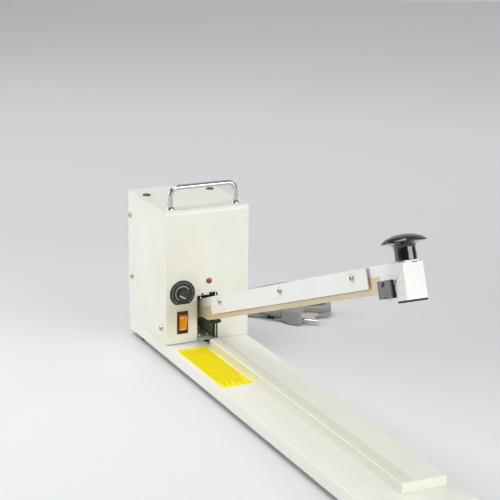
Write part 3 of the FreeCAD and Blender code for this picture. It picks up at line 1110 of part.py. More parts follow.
def cord_tube(name, route):
    """A round tube along straight runs joined by tangent arcs."""
    points = [Vector(*point) for point in route]
    edges = []
    here = points[0]
    radii = []
    for before, corner, after in zip(points, points[1:], points[2:]):
        inward = (corner - before)
        outward = (after - corner)
        turn = inward.getAngle(outward)
        shorter = min(inward.Length, outward.Length)
        trim = 0.45 * shorter
        radius = trim / math.tan(turn / 2)
        radii.append(radius)
        leave = corner - inward.normalize() * trim
        arrive = corner + outward.normalize() * trim
        bisector = (outward - inward).normalize()
        middle = corner + bisector * (radius / math.cos(turn / 2) - radius)
        edges.append(Part.LineSegment(here, leave).toShape())
        edges.append(Part.Arc(leave, middle, arrive).toShape())
        here = arrive
    edges.append(Part.LineSegment(here, points[-1]).toShape())
    path = Part.Wire(edges)
    ring = Part.Wire([Part.Circle(points[0], points[1] - points[0], float(d.cord_radius)).toShape()])
    solid = path.makePipeShell([ring], True, True)
    length = path.Length
    expected = math.pi * float(d.cord_radius) ** 2 * length
    print(name, "length %.0f" % length, "radii", [round(radius, 1) for radius in radii],
          "volume ratio %.4f" % (solid.Volume / expected))
    thing = doc.addObject("Part::Feature", name)
    thing.Shape = solid
    thing.Placement = Placement(Vector(0, float(face_y), 0), Rotation())
    thing.Label = name
    NODES.append(thing)
    return thing


cord_tube("mains_cord", FREE_ROUTE)
cord_tube("plug_cord", TAIL_ROUTE)

hank = body("cord_hank")
slab = sketch(hank, "XY_Plane", d.tie_thick + 0.1)
half_hank = d.hank_length / 2
side_hank = d.hank_width / 2
rectangle(slab, -half_hank, -side_hank, half_hank, side_hank)
pad(hank, slab, d.hank_height - d.tie_thick)
round_edges(hank, d.hank_width / 2 - 0.5, lambda m, t: abs(t.z) > 0.9)
hank.Placement = Placement(Vector(HANK_SPOT.x, float(face_y) + HANK_SPOT.y, 0), Rotation(Vector(0, 0, 1), hank_turn))
hank.Label = "cord_hank"
NODES.append(hank)


def plug_node(thing, label):
    """Register a piece of the plug in the plug's own frame, whose +X is the way the pins point."""
    thing.Placement = Placement(Vector(PLUG_SPOT.x, float(face_y) + PLUG_SPOT.y, PLUG_SPOT.z),
                                Rotation(Vector(0, 0, 1), PLUG_TURN))
    thing.Label = label
    NODES.append(thing)


plug = body("mains_plug")
plug_top = sketch(plug, "XY_Plane", -10.0)
outline(plug_top, [(plug_half, -11.5), (plug_half, 11.5), (-2.0, 11.5), (-plug_half, 6.5), (-plug_half, -6.5), (-2.0, -11.5)])
pad(plug, plug_top, 19.5)
round_edges(plug, 2.5, lambda m, t: abs(t.x) > 0.5 and abs(abs(m.z - -0.25) - 9.75) < 0.5)
ribs = sketch(plug, "XZ_Plane")
outline(ribs, [(-plug_half, 0.0), (-plug_half, 5.6), (-plug_half - 5, 5.2), (-plug_half - ribs_length, 4.2), (-plug_half - ribs_length, 0.0)])
rib_turn = plug.newObject("PartDesign::Revolution", "plug_ribs")
rib_turn.Profile = ribs
rib_turn.ReferenceAxis = (ribs, ["H_Axis"])
rib_turn.Angle = 360
doc.recompute()
pin_slots = sketch(plug, "YZ_Plane", plug_half + 1)
for side in (-6.35, 6.35):
    rectangle(pin_slots, side - 0.85, -0.2, side + 0.85, 6.4)
circle(pin_slots, 0.0, -5.6, 2.5)
pocket(plug, pin_slots, 7.0)
plug_node(plug, "mains_plug")
pins = [box("plug_blade_%d" % index, (plug_half - 5, side - 0.75, -0.1), (plug_half + 17.5, side + 0.75, 6.3))
        for index, side in enumerate((-6.35, 6.35), start=1)]
pins.append(rod("plug_ground", 2.4, 25.5, (plug_half - 5, 0.0, -5.6), "x"))
plug_node(group("plug_pins", *pins), "plug_pins")

tie = body("hank_tie")
tie_loop = sketch(tie, "YZ_Plane", d.tie_along - d.tie_width / 2)
hank_top = d.hank_height + 0.1
rectangle(tie_loop, -side_hank - 0.1 - d.tie_thick, 0.0, side_hank + 0.1 + d.tie_thick, hank_top + 0.1 + d.tie_thick)
rectangle(tie_loop, -side_hank - 0.1, d.tie_thick, side_hank + 0.1, hank_top + 0.1)
pad(tie, tie_loop, d.tie_width)
tie.Placement = Placement(Vector(HANK_SPOT.x, float(face_y) + HANK_SPOT.y, 0), Rotation(Vector(0, 0, 1), hank_turn))
tie.Label = "cord_tie"
NODES.append(tie)

doc.recompute()
failed = [thing.Name for thing in doc.Objects if {"Invalid", "Error"} & set(thing.State)]
if failed:
    raise RuntimeError("objects failed: " + ", ".join(failed))
labels = [thing.Label for thing in NODES]
if len(set(labels)) != len(labels):
    raise RuntimeError("two sub-parts share a label")
os.makedirs("parts", exist_ok=True)
for thing in NODES:
    shape = thing.Shape
    if shape.isNull() or not shape.isValid() or not shape.Solids:
        raise RuntimeError("bad shape: " + thing.Label)
for thing in NODES:
    thing.Shape.exportStep("parts/%s.step" % thing.Label)
print(len(NODES), "sub-parts, whole length", round(float(whole_length), 1))
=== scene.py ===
import math
import bmesh
import bpy
from mathutils import Matrix, Vector


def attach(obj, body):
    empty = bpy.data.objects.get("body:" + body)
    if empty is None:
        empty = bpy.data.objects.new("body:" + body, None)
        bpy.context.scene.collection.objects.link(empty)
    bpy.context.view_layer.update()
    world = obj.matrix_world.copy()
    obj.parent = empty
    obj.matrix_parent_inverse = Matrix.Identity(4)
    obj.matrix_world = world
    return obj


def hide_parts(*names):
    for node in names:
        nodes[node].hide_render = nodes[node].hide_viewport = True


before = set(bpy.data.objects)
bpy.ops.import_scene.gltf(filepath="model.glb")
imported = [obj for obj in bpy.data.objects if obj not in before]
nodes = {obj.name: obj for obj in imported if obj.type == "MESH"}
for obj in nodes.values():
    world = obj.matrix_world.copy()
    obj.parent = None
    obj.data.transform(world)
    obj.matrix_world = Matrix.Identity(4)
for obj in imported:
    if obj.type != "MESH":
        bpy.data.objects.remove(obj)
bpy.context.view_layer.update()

# Lengths below are in millimetres from the foot of the control face, as in the part's source,
# and MM turns them into metres of the row frame.
MM = 0.001
FACE_Y = 185.5
SHELF_Z = 22.4
PIVOT = (36.0, 28.0)
REST = math.radians(20.5)
COVER_HALF = 52.5
COVER_TOP = 161


def at(x, y, z):
    """A place on the housing's datum, in metres of the row frame."""
    return Vector((x * MM, (FACE_Y + y) * MM, (SHELF_Z + z) * MM))


def on_floor(x, y, height):
    """A place given by its height above the table."""
    return Vector((x * MM, (FACE_Y + y) * MM, height * MM))


HOUSING = Matrix.Translation(at(0, 0, 0))
ARM = Matrix.Translation(at(0, *PIVOT)) @ Matrix.Rotation(-REST, 4, "X")


def moved(x, y, z):
    """A shift in millimetres."""
    return Matrix.Translation((x * MM, y * MM, z * MM))


def turned_by(degrees, axis):
    """A turn about a main axis."""
    return Matrix.Rotation(math.radians(degrees), 4, axis)


# Flat work on the control face: x across, y up, z out of the face.
FACE = HOUSING @ turned_by(90, "X")
DIAL = (-32.1, 62.1)
DIAL_PLATE_RISE = 1.0
TIMER_KNOB_RISE = 7.3
DIAL_FACE = FACE @ moved(*DIAL, DIAL_PLATE_RISE)
TIMER_FACE = FACE @ moved(*DIAL, TIMER_KNOB_RISE)

# The camera, as fitted to the photograph's edges and corners. Its turns are in degrees,
# and the focal length is in pixels of a square frame.
CAMERA_SPOT = (-699.9, -1585.0, 610.2)
CAMERA_YAW = 25.46
CAMERA_PITCH = 16.06
CAMERA_ROLL = 0.586
FOCAL_PIXELS = 1545.7
FRAME_PIXELS = 500
SENSOR = 36


def set_camera():
    """The camera of the photograph: a long lens, above and to the left of the control face."""
    yaw, pitch, roll = (math.radians(turn) for turn in (CAMERA_YAW, CAMERA_PITCH, CAMERA_ROLL))
    forward = Vector((math.sin(yaw) * math.cos(pitch), math.cos(yaw) * math.cos(pitch), -math.sin(pitch)))
    side = Vector((math.cos(yaw), -math.sin(yaw), 0))
    up = side.cross(forward)
    right = side * math.cos(roll) + up * math.sin(roll)
    up = up * math.cos(roll) - side * math.sin(roll)
    data = bpy.data.cameras.new("photo_camera")
    data.sensor_width = SENSOR
    data.sensor_fit = "HORIZONTAL"
    data.lens = FOCAL_PIXELS / FRAME_PIXELS * SENSOR
    data.clip_end = 30
    camera = bpy.data.objects.new("photo_camera", data)
    bpy.context.scene.collection.objects.link(camera)
    place = Matrix((right, up, -forward)).transposed().to_4x4()
    place.translation = at(*CAMERA_SPOT)
    camera.matrix_world = place
    bpy.context.scene.camera = camera


set_camera()
bpy.context.scene.view_settings.view_transform = "Standard"


def sock(shader, **values):
    """Set sockets of a shader by short names."""
    names = {"rough": "Roughness", "metal": "Metallic", "coat": "Coat Weight", "coat_rough": "Coat Roughness",
             "spec": "Specular IOR Level", "under": "Subsurface Weight"}
    for key, value in values.items():
        shader.inputs[names[key]].default_value = value


class Finish:
    """One material, built from a few node calls."""

    def __init__(self, name, **values):
        self.material = bpy.data.materials.new(name)
        self.material.use_nodes = True
        self.tree = self.material.node_tree
        self.shader = self.tree.nodes["Principled BSDF"]
        sock(self.shader, **values)
        self.coords = self.tree.nodes.new("ShaderNodeTexCoord").outputs["Object"]
        self.relief = None

    def link(self, source, target):
        """Join two sockets."""
        self.tree.links.new(source, target)
        return self

    def node(self, kind, **settings):
        """A new node, with sockets and properties set by name."""
        made = self.tree.nodes.new("ShaderNode" + kind)
        for key, value in settings.items():
            if key in made.inputs:
                made.inputs[key].default_value = value
            else:
                setattr(made, key, value)
        return made

    def mapped(self, scale=(1, 1, 1), turn=(0, 0, 0)):
        """The piece's own coordinates, stretched or turned."""
        mapping = self.node("Mapping")
        mapping.inputs["Scale"].default_value = scale
        mapping.inputs["Rotation"].default_value = turn
        self.link(self.coords, mapping.inputs["Vector"])
        return mapping.outputs["Vector"]

    def noise(self, scale, detail=3.0, stretch=(1, 1, 1)):
        """Soft noise on the piece's own coordinates."""
        noise = self.node("TexNoise", Scale=scale, Detail=detail, Roughness=0.5)
        self.link(self.mapped(stretch), noise.inputs["Vector"])
        return noise.outputs["Fac"]

    def ramp(self, source, *stops):
        """Colours read off a value, from (place, colour) stops."""
        ramp = self.node("ValToRGB")
        band = ramp.color_ramp
        while len(band.elements) < len(stops):
            band.elements.new(0.5)
        for element, (spot, shade) in zip(band.elements, stops):
            element.position = spot
            element.color = (*shade, 1)
        self.link(source, ramp.inputs["Fac"])
        return ramp.outputs["Color"]

    def vary(self, source, low, high):
        """Colour that wanders between two shades."""
        return self.link(self.ramp(source, (0.3, low), (0.7, high)), self.shader.inputs["Base Color"])

    def gloss(self, source, low, high):
        """Roughness that wanders between two values."""
        reach = self.node("MapRange")
        reach.inputs["To Min"].default_value = low
        reach.inputs["To Max"].default_value = high
        self.link(source, reach.inputs["Value"])
        return self.link(reach.outputs["Result"], self.shader.inputs["Roughness"])

    def bump(self, source, depth, strength=1.0):
        """Relief of a given depth in millimetres, over any earlier relief."""
        bump = self.node("Bump")
        bump.inputs["Distance"].default_value = depth * MM
        bump.inputs["Strength"].default_value = strength
        self.link(source, bump.inputs["Height"])
        if self.relief:
            self.link(self.relief, bump.inputs["Normal"])
        self.relief = bump.outputs["Normal"]
        return self.link(self.relief, self.shader.inputs["Normal"])


def srgb(r, g, b):
    """Linear colour of an 8-bit screen colour."""
    shares = (r / 255, g / 255, b / 255)
    return tuple(c / 12.92 if c <= 0.04045 else ((c + 0.055) / 1.055) ** 2.4 for c in shares)


def retouch(material, **values):
    """Change sockets of a finished material's shader."""
    sock(material.node_tree.nodes["Principled BSDF"], **values)


def enamel(name, shade, deep):
    """Baked enamel over sheet steel: a soft orange-peel surface with faint unevenness of tone."""
    finish = Finish(name, rough=0.36, coat=0.3, coat_rough=0.12)
    finish.vary(finish.noise(22, 4), deep, shade)
    finish.gloss(finish.noise(140, 3), 0.31, 0.42)
    finish.bump(finish.noise(900, 2), 0.02, 0.4)
    return finish.material


def plated(name, shade, rough, stretch=(1, 1, 1)):
    """Plated steel with fine drawn lines."""
    finish = Finish(name, metal=1.0, rough=rough)
    finish.vary(finish.noise(160, 3, stretch=stretch), tuple(c * 0.92 for c in shade), shade)
    finish.gloss(finish.noise(420, 3, stretch=stretch), rough * 0.75, rough * 1.3)
    finish.bump(finish.noise(1400, 2, stretch=stretch), 0.012, 0.4)
    return finish.material


def moulded(name, shade, rough, grain=0.03, coat=0.0, deep=0.93):
    """Moulded plastic or rubber with a fine spark-eroded grain."""
    finish = Finish(name, rough=rough, coat=coat, coat_rough=0.06)
    finish.vary(finish.noise(60, 3), tuple(c * deep for c in shade), shade)
    finish.gloss(finish.noise(300, 2), rough * 0.88, min(1.0, rough * 1.12))
    finish.bump(finish.noise(1800, 2), grain, 0.5)
    return finish.material


cream = enamel("cream_enamel", srgb(240, 239, 228), srgb(236, 235, 222))
pan_cream = enamel("pan_enamel", srgb(246, 245, 235), srgb(242, 241, 229))
# Paler than the housing's cream to lift the arm's shadow on the bed: the bed's own cream plus painted light.
bed_cream_and_painted_light = enamel("bed_enamel_and_painted_light", srgb(247, 247, 234), srgb(243, 243, 229))
arm_white = enamel("arm_enamel", srgb(243, 243, 238), srgb(239, 239, 232))
cap_white = enamel("cap_enamel", srgb(236, 236, 230), srgb(232, 232, 225))
bracket_grey = enamel("bracket_enamel", srgb(186, 196, 176), srgb(176, 186, 166))
# Painted shade: dark green-grey for the inner side of the slot, which lies in shade.
slot_painted_shade = moulded("slot_painted_shade", srgb(74, 92, 78), 0.5, 0.01)
plug_dark = moulded("cap_dark", srgb(64, 62, 54), 0.22, 0.01)
chrome = plated("polished_chrome", (0.63, 0.63, 0.61), 0.06)
nickel = plated("nickel_plate", (0.62, 0.61, 0.59), 0.30)
zinc = plated("zinc_plate", (0.62, 0.63, 0.64), 0.38)
bright = plated("bright_strip", (0.90, 0.90, 0.84), 0.18, (1, 0.04, 1))
retouch(bright, metal=0.35)
milled = plated("milled_aluminium", (0.72, 0.72, 0.72), 0.34, (1, 0.05, 1))
ground = plated("ground_blade", (0.66, 0.67, 0.68), 0.22, (1, 0.1, 1))
ribbon = plated("element_ribbon", (0.46, 0.43, 0.39), 0.42, (1, 0.08, 1))
bronze = plated("bush_bronze", (0.55, 0.40, 0.22), 0.45)
brass = plated("pin_plating", (0.80, 0.77, 0.68), 0.16)
lamination = plated("core_lamination", (0.10, 0.10, 0.11), 0.5, (1, 6, 1))
black_plastic = moulded("black_plastic", (0.018, 0.018, 0.019), 0.42)
recess_black = moulded("recess_black", (0.010, 0.010, 0.010), 0.6)
black_rubber = moulded("black_rubber", (0.022, 0.022, 0.022), 0.7, 0.06)
grey_plastic = moulded("cutter_grey", srgb(112, 116, 119), 0.45, 0.04)
knob_black = moulded("knob_gloss_black", (0.004, 0.004, 0.005), 0.06, 0.0, 0.9)
lead_grey = moulded("lead_grey", srgb(148, 151, 145), 0.5, 0.03)
silicone = moulded("cream_silicone", srgb(230, 229, 214), 0.5, 0.01, deep=0.985)
nylon = moulded("natural_nylon", (0.72, 0.71, 0.66), 0.5)
board_green = moulded("board_mask", (0.012, 0.13, 0.05), 0.3)
dial_black = moulded("dial_black", srgb(44, 45, 40), 0.5, 0.01)
timer_black = moulded("timer_black", srgb(52, 53, 52), 0.34, 0.02)
white_ink = moulded("white_ink", srgb(226, 226, 218), 0.55, 0.002, deep=0.98)
faded_ink = moulded("faded_ink", srgb(176, 176, 166), 0.55, 0.002, deep=0.96)
yellow_film = moulded("sticker_yellow", (1.0, 0.86, 0.0), 0.5, 0.004, deep=0.985)
retouch(yellow_film, spec=0.12)
rule_ink = moulded("sticker_rules", srgb(176, 146, 6), 0.5, 0.002)
retouch(rule_ink, spec=0.12)


def rocker_finish():
    """Translucent orange rocker, its tone wandering a little from place to place."""
    finish = Finish("rocker_orange", rough=0.18, coat=0.5, coat_rough=0.05, under=0.1)
    finish.vary(finish.noise(90, 3), srgb(238, 126, 6), srgb(250, 150, 22))
    finish.bump(finish.noise(700, 2), 0.006, 0.4)
    return finish.material


def lens_finish():
    """Unlit red-brown lamp lens with moulded facets."""
    finish = Finish("lens_red", rough=0.12, coat=0.6, coat_rough=0.04, under=0.1)
    cells = finish.node("TexVoronoi", Scale=900.0)
    finish.link(finish.mapped(), cells.inputs["Vector"])
    finish.link(finish.ramp(cells.outputs["Distance"], (0.0, srgb(190, 66, 58)), (0.8, srgb(112, 36, 32))),
                finish.shader.inputs["Base Color"])
    finish.bump(cells.outputs["Distance"], 0.12, 0.5)
    return finish.material


def cloth_finish():
    """Coated glass cloth: tan and satin, with a fine plain weave."""
    finish = Finish("release_cloth", rough=0.34, coat=0.15, coat_rough=0.3)
    finish.vary(finish.noise(20, 4, stretch=(1, 0.3, 1)), srgb(214, 192, 154), srgb(227, 209, 176))
    warp = finish.node("TexWave", Scale=420.0, Distortion=0.6, Detail=1.0)
    warp.bands_direction = "Y"
    finish.link(finish.mapped(), warp.inputs["Vector"])
    weft = finish.node("TexWave", Scale=420.0, Distortion=0.6, Detail=1.0)
    weft.bands_direction = "Z"
    finish.link(finish.mapped(), weft.inputs["Vector"])
    both = finish.node("Math", operation="MULTIPLY")
    finish.link(warp.outputs["Fac"], both.inputs[0]).link(weft.outputs["Fac"], both.inputs[1])
    finish.bump(both.outputs[0], 0.05, 0.5)
    return finish.material


def winding_finish():
    """Varnished tape wound over the coil, in overlapping turns."""
    finish = Finish("winding_tape", rough=0.3, coat=0.4, coat_rough=0.2)
    turns = finish.node("TexWave", Scale=42.0, Distortion=0.4, Detail=1.0)
    turns.bands_direction = "Z"
    finish.link(finish.mapped(), turns.inputs["Vector"])
    finish.vary(turns.outputs["Fac"], (0.45, 0.30, 0.06), (0.62, 0.44, 0.10))
    finish.bump(turns.outputs["Fac"], 0.2, 0.5)
    return finish.material


# Painted shadow: grey for the fine line of shade along the end cap's seam.
painted_seam_shadow = moulded("seam_shadow", srgb(176, 178, 166), 0.6, 0.002)
orange = rocker_finish()
lens_red = lens_finish()
cloth_tan = cloth_finish()
tape = winding_finish()


def new_corners(items):
    """The vertices among the results of an operator."""
    return [item for item in items if isinstance(item, bmesh.types.BMVert)]


def soften(made, degrees):
    """Smooth shading with sharp edges kept above an angle."""
    made.polygons.foreach_set("use_smooth", [True] * len(made.polygons))
    made.set_sharp_from_angle(angle=math.radians(degrees))


def finish_piece(name, mesh, material, body, smooth=35):
    """Make a mesh an object of the scene, with its material, and let it ride on its body."""
    made = bpy.data.meshes.new(name)
    mesh.to_mesh(made)
    mesh.free()
    piece = bpy.data.objects.new(name, made)
    bpy.context.scene.collection.objects.link(piece)
    if smooth:
        soften(made, smooth)
    made.materials.append(material)
    if body:
        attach(piece, body)
    return piece


def block(mesh, low, high, place=None):
    """A block between two corners, in millimetres, set into a place."""
    cube = bmesh.ops.create_cube(mesh, size=1.0)["verts"]
    size = [(b - a) * MM for a, b in zip(low, high)]
    middle = [(b + a) / 2 * MM for a, b in zip(low, high)]
    bmesh.ops.scale(mesh, vec=size, verts=cube)
    bmesh.ops.translate(mesh, vec=middle, verts=cube)
    if place:
        bmesh.ops.transform(mesh, matrix=place, verts=cube)
    return cube


def chamfer(mesh, verts, width, segments=2):
    """Round every edge of these vertices a little."""
    edges = {edge for vert in verts for edge in vert.link_edges}
    bmesh.ops.bevel(mesh, geom=list(edges), offset=width * MM, offset_type="OFFSET", segments=segments,
                    profile=0.5, affect="EDGES", clamp_overlap=True, material=-1)


def turned(mesh, profile, place, steps=48):
    """A round piece from its half profile of (radius, height) pairs, in millimetres, turned about local Z.

    Vertices that are tagged belong to earlier pieces of the mesh and stay where they are.
    """
    spots = [mesh.verts.new((radius * MM, 0, height * MM)) for radius, height in profile]
    edges = [mesh.edges.new(pair) for pair in zip(spots, spots[1:])]
    bmesh.ops.spin(mesh, geom=spots + edges, cent=(0, 0, 0), axis=(0, 0, 1), angle=math.tau, steps=steps,
                   use_merge=True, use_duplicate=False)
    verts = [vert for vert in mesh.verts if not vert.tag]
    bmesh.ops.remove_doubles(mesh, verts=verts, dist=0.00001)
    verts = [vert for vert in mesh.verts if not vert.tag]
    bmesh.ops.transform(mesh, matrix=place, verts=verts)
    faces = list({face for vert in verts for face in vert.link_faces})
    bmesh.ops.recalc_face_normals(mesh, faces=faces)
    for vert in verts:
        vert.tag = True
    return verts


def facing(way):
    """A turn that brings local Z to point along a direction."""
    return Vector((0, 0, 1)).rotation_difference(Vector(way)).to_matrix().to_4x4()


def curved(points, steps=6):
    """A profile drawn through a few points, as a smooth line."""
    line = []
    for index in range(len(points) - 1):
        before = points[max(index - 1, 0)]
        start, end = points[index], points[index + 1]
        after = points[min(index + 2, len(points) - 1)]
        for step in range(steps):
            t = step / steps
            line.append(tuple(0.5 * (2 * b + (c - a) * t + (2 * a - 5 * b + 4 * c - e) * t * t
                                     + (3 * b - 3 * c + e - a) * t ** 3)
                              for a, b, c, e in zip(before, start, end, after)))
    return line + [points[-1]]


def raised(mesh, faces, depth, way):
    """Give flat faces a thickness along a direction."""
    grown = bmesh.ops.extrude_face_region(mesh, geom=list(faces))["geom"]
    bmesh.ops.translate(mesh, vec=Vector(way) * depth * MM, verts=new_corners(grown))
    bmesh.ops.recalc_face_normals(mesh, faces=mesh.faces[:])


def letters(mesh, text, size, place):
    """Flat figures a little proud of their face, centred on a place."""
    curve = bpy.data.curves.new("figures", "FONT")
    curve.body = text
    curve.size = size * MM
    curve.align_x = "CENTER"
    curve.align_y = "CENTER"
    curve.extrude = 0.05 * MM
    curve.resolution_u = 3
    holder = bpy.data.objects.new("figures", curve)
    made = bpy.data.meshes.new_from_object(holder)
    known = set(mesh.verts)
    mesh.from_mesh(made)
    fresh = [vert for vert in mesh.verts if vert not in known]
    bmesh.ops.remove_doubles(mesh, verts=fresh, dist=0.000001)
    fresh = [vert for vert in mesh.verts if vert not in known]
    bmesh.ops.transform(mesh, matrix=place, verts=fresh)
    bpy.data.objects.remove(holder)
    bpy.data.meshes.remove(made)


def carved(mesh, tool):
    """One closed mesh with another taken away."""
    pair = []
    for name, source in (("stock", mesh), ("tool", tool)):
        made = bpy.data.meshes.new(name)
        source.to_mesh(made)
        source.free()
        thing = bpy.data.objects.new(name, made)
        bpy.context.scene.collection.objects.link(thing)
        pair.append(thing)
    stock, cutter = pair
    step = stock.modifiers.new("cut", "BOOLEAN")
    step.operation = "DIFFERENCE"
    step.solver = "EXACT"
    step.use_self = True
    step.object = cutter
    done = bpy.data.meshes.new_from_object(stock.evaluated_get(bpy.context.evaluated_depsgraph_get()))
    result = bmesh.new()
    result.from_mesh(done)
    for thing in pair:
        bpy.data.objects.remove(thing)
    bpy.data.meshes.remove(done)
    return result


# The mains lead: its diameter, the control points of its free stretch as (x, y, height) in millimetres,
# and where the hank and the plug lie on the table.
LEAD = 6.2
FREE_ROUTE = ((30, 154, 38.4), (30, 174, 38.4), (33, 199, 31), (43, 220, 17), (63, 228.5, 5.8), (89, 226, 3.3),
              (112, 212, 3.3), (136, 204, 3.3), (160, 208, 3.3), (183, 214, 3.3), (206, 217, 3.3), (227, 214, 3.3),
              (244, 204, 3.3), (252, 189, 3.3), (248, 168, 3.3), (234, 147, 3.3), (215, 130, 3.3), (195, 121.5, 3.6),
              (173, 124.5, 4.0))
HANK_TURN = math.radians(-26.6)
HANK_SPOT = (160, 110)
PLUG_TURN = math.radians(-43)
PLUG_SPOT = (152, 75, 10.5)


def hank_point(u, v, height):
    """A place in the hank: along it, across it and above the table."""
    x = HANK_SPOT[0] + u * math.cos(HANK_TURN) - v * math.sin(HANK_TURN)
    y = HANK_SPOT[1] + u * math.sin(HANK_TURN) + v * math.cos(HANK_TURN)
    return (x, y, height)


def hank_route():
    """Four long turns laid on and inside each other, held at one place by the tie."""
    spots = []
    # Each turn's half length, half width and height above the table.
    turns = ((57.0, 17.0, 4.2), (53.0, 12.9, 8.8), (56.2, 16.4, 13.2), (52.0, 12.4, 17.6))
    # Control points stand this much outside the arc that they draw.
    corner = 1 / math.cos(math.radians(22.5))
    for index, (reach, wide, height) in enumerate(turns):
        last = index == len(turns) - 1
        spots.append(hank_point(-2 if index == 0 else 18, wide * (0.99 if index == 0 else 0.97), height))
        spots.append(hank_point(-20, wide * 0.985, height - 0.1))
        for angle in (112.5, 157.5, 202.5, 247.5):
            spots.append(hank_point(wide - reach + wide * corner * math.cos(math.radians(angle)),
                                    wide * corner * math.sin(math.radians(angle)), height))
        if last:
            break
        spots.append(hank_point(-20, -wide * 0.985, height - 0.1))
        spots.append(hank_point(18, -wide * 0.97, height))
        following = turns[index + 1]
        for step, angle in enumerate((-67.5, -22.5, 22.5, 67.5)):
            share = (step + 0.5) / 4
            broad = wide + (following[1] - wide) * share
            long = reach + (following[0] - reach) * share
            level = height + (following[2] - height) * share
            spots.append(hank_point(long - broad + broad * corner * math.cos(math.radians(angle)),
                                    broad * corner * math.sin(math.radians(angle)), level))
    return spots


def tail_route():
    """From the hank to the back of the plug's relief."""
    back = 30.0
    way = (math.cos(PLUG_TURN), math.sin(PLUG_TURN))
    end = (PLUG_SPOT[0] - way[0] * back, PLUG_SPOT[1] - way[1] * back, PLUG_SPOT[2])
    before = (PLUG_SPOT[0] - way[0] * (back + 12), PLUG_SPOT[1] - way[1] * (back + 12), PLUG_SPOT[2] + 0.8)
    return [before, end]


def lay_lead():
    """One smooth spline from the relief through the free stretch and the hank to the plug."""
    curve = bpy.data.curves.new("mains_lead", "CURVE")
    curve.dimensions = "3D"
    spline = curve.splines.new("NURBS")
    route = [Vector(spot) for spot in list(FREE_ROUTE) + hank_route() + tail_route()]
    spline.points.add(len(route) - 1)
    for point, spot in zip(spline.points, route):
        point.co = (*on_floor(*spot), 1)
    spline.order_u = 3
    spline.use_endpoint_u = True
    spline.resolution_u = 8
    curve.bevel_depth = LEAD / 2 * MM
    curve.bevel_resolution = 6
    curve.use_fill_caps = True
    curve.materials.append(lead_grey)
    piece = bpy.data.objects.new("mains_lead", curve)
    bpy.context.scene.collection.objects.link(piece)
    return piece


def lead_relief():
    """Ribbed sleeve where the lead leaves the rear panel, with its flange and the clip behind."""
    mesh = bmesh.new()
    profile = [(0, -6.2), (6.8, -6.2), (6.8, -1.3), (5.1, -1.3), (5.1, 0.05), (7.6, 0.05), (7.6, 2.3), (7.0, 3.0)]
    for index in range(8):
        start = 3.6 + index * 3.7
        reach = 5.15 - index * 0.13
        profile += [(reach - 0.8, start), (reach, start + 0.5), (reach, start + 2.4), (reach - 0.8, start + 2.9)]
    profile += [(3.5, 33.6), (3.2, 34.0), (0, 34.0)]
    turned(mesh, profile, HOUSING @ moved(30, 120, 16) @ facing((0, 1, 0)), 40)
    piece = finish_piece("relief_sleeve", mesh, lead_grey, "base", 40)
    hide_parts("strain_relief")
    return piece


def plug_mould():
    """Moulded plug: a rounded body that narrows towards a ribbed sleeve."""
    plug = Matrix.Translation(on_floor(*PLUG_SPOT)) @ Matrix.Rotation(PLUG_TURN, 4, "Z")
    mesh = bmesh.new()
    verts = block(mesh, (-2, -11.5, -10), (13, 11.5, 9.5))
    back = [face for face in mesh.faces if face.normal.x < -0.9]
    grown = bmesh.ops.extrude_face_region(mesh, geom=back)["geom"]
    bmesh.ops.delete(mesh, geom=back, context="FACES_ONLY")
    ends = new_corners(grown)
    bmesh.ops.translate(mesh, vec=(-11 * MM, 0, 0), verts=ends)
    bmesh.ops.scale(mesh, vec=(1, 0.58, 0.72), verts=ends)
    bmesh.ops.recalc_face_normals(mesh, faces=mesh.faces[:])
    chamfer(mesh, mesh.verts[:], 2.4, 4)
    bmesh.ops.transform(mesh, matrix=plug, verts=mesh.verts[:])
    for vert in mesh.verts:
        vert.tag = True
    profile = [(0, -1.0), (5.4, -1.0)]
    for index in range(6):
        start = 0.4 + index * 2.8
        reach = 5.6 - index * 0.24
        profile += [(reach - 0.9, start), (reach, start + 0.3), (reach, start + 1.7), (reach - 0.9, start + 2.0)]
    profile += [(3.6, 17.2), (0, 17.2)]
    turned(mesh, profile, plug @ moved(-12.8, 0, 0) @ facing((-1, 0, 0)), 36)
    piece = finish_piece("plug_mould", mesh, lead_grey, "base", 40)
    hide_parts("mains_plug")
    return piece


relief = lead_relief()
plug = plug_mould()
lead = lay_lead()
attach(lead, "base")
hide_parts("mains_cord", "cord_hank", "plug_cord")


# Finishes of the solids that stay as they are.
DRESS = {
    cream: ("housing_cover", "rear_panel"),
    pan_cream: ("base_pan",),
    bed_cream_and_painted_light: ("bed_channel",),
    arm_white: ("arm_channel", "clamp_plate"),
    cap_white: ("end_cap",),
    bracket_grey: ("pivot_bracket", "shelf_screws"),
    zinc: ("floor_plate", "cover_angles", "timer_potentiometer", "spring_lug", "transformer_strap", "foot_screws",
           "handle_nuts"),
    nickel: ("plate_spacers", "pivot_pin", "spring_hanger", "return_spring", "timer_shaft",
             "knob_stud", "lamp_bezel"),
    brass: ("plug_pins",),
    bronze: ("pivot_bush",),
    lamination: ("transformer_core",),
    tape: ("transformer_winding",),
    ribbon: ("heating_element",),
    ground: ("cutter_blade",),
    black_rubber: ("rubber_feet", "arm_stop", "end_pad"),
    plug_dark: ("top_plugs",),
    black_plastic: ("rocker_frame", "closing_switch", "board_components", "fuse_holder",
                    "cutter_carriage", "cord_tie"),
    timer_black: ("timer_knob",),
    grey_plastic: ("cutter_cover",),
    silicone: ("silicone_pad",),
    board_green: ("timer_board",),
    nylon: ("board_spacers",),
    dial_black: ("dial_plate",),
}
for material, names in DRESS.items():
    for name in names:
        for slot in nodes[name].material_slots:
            slot.material = material


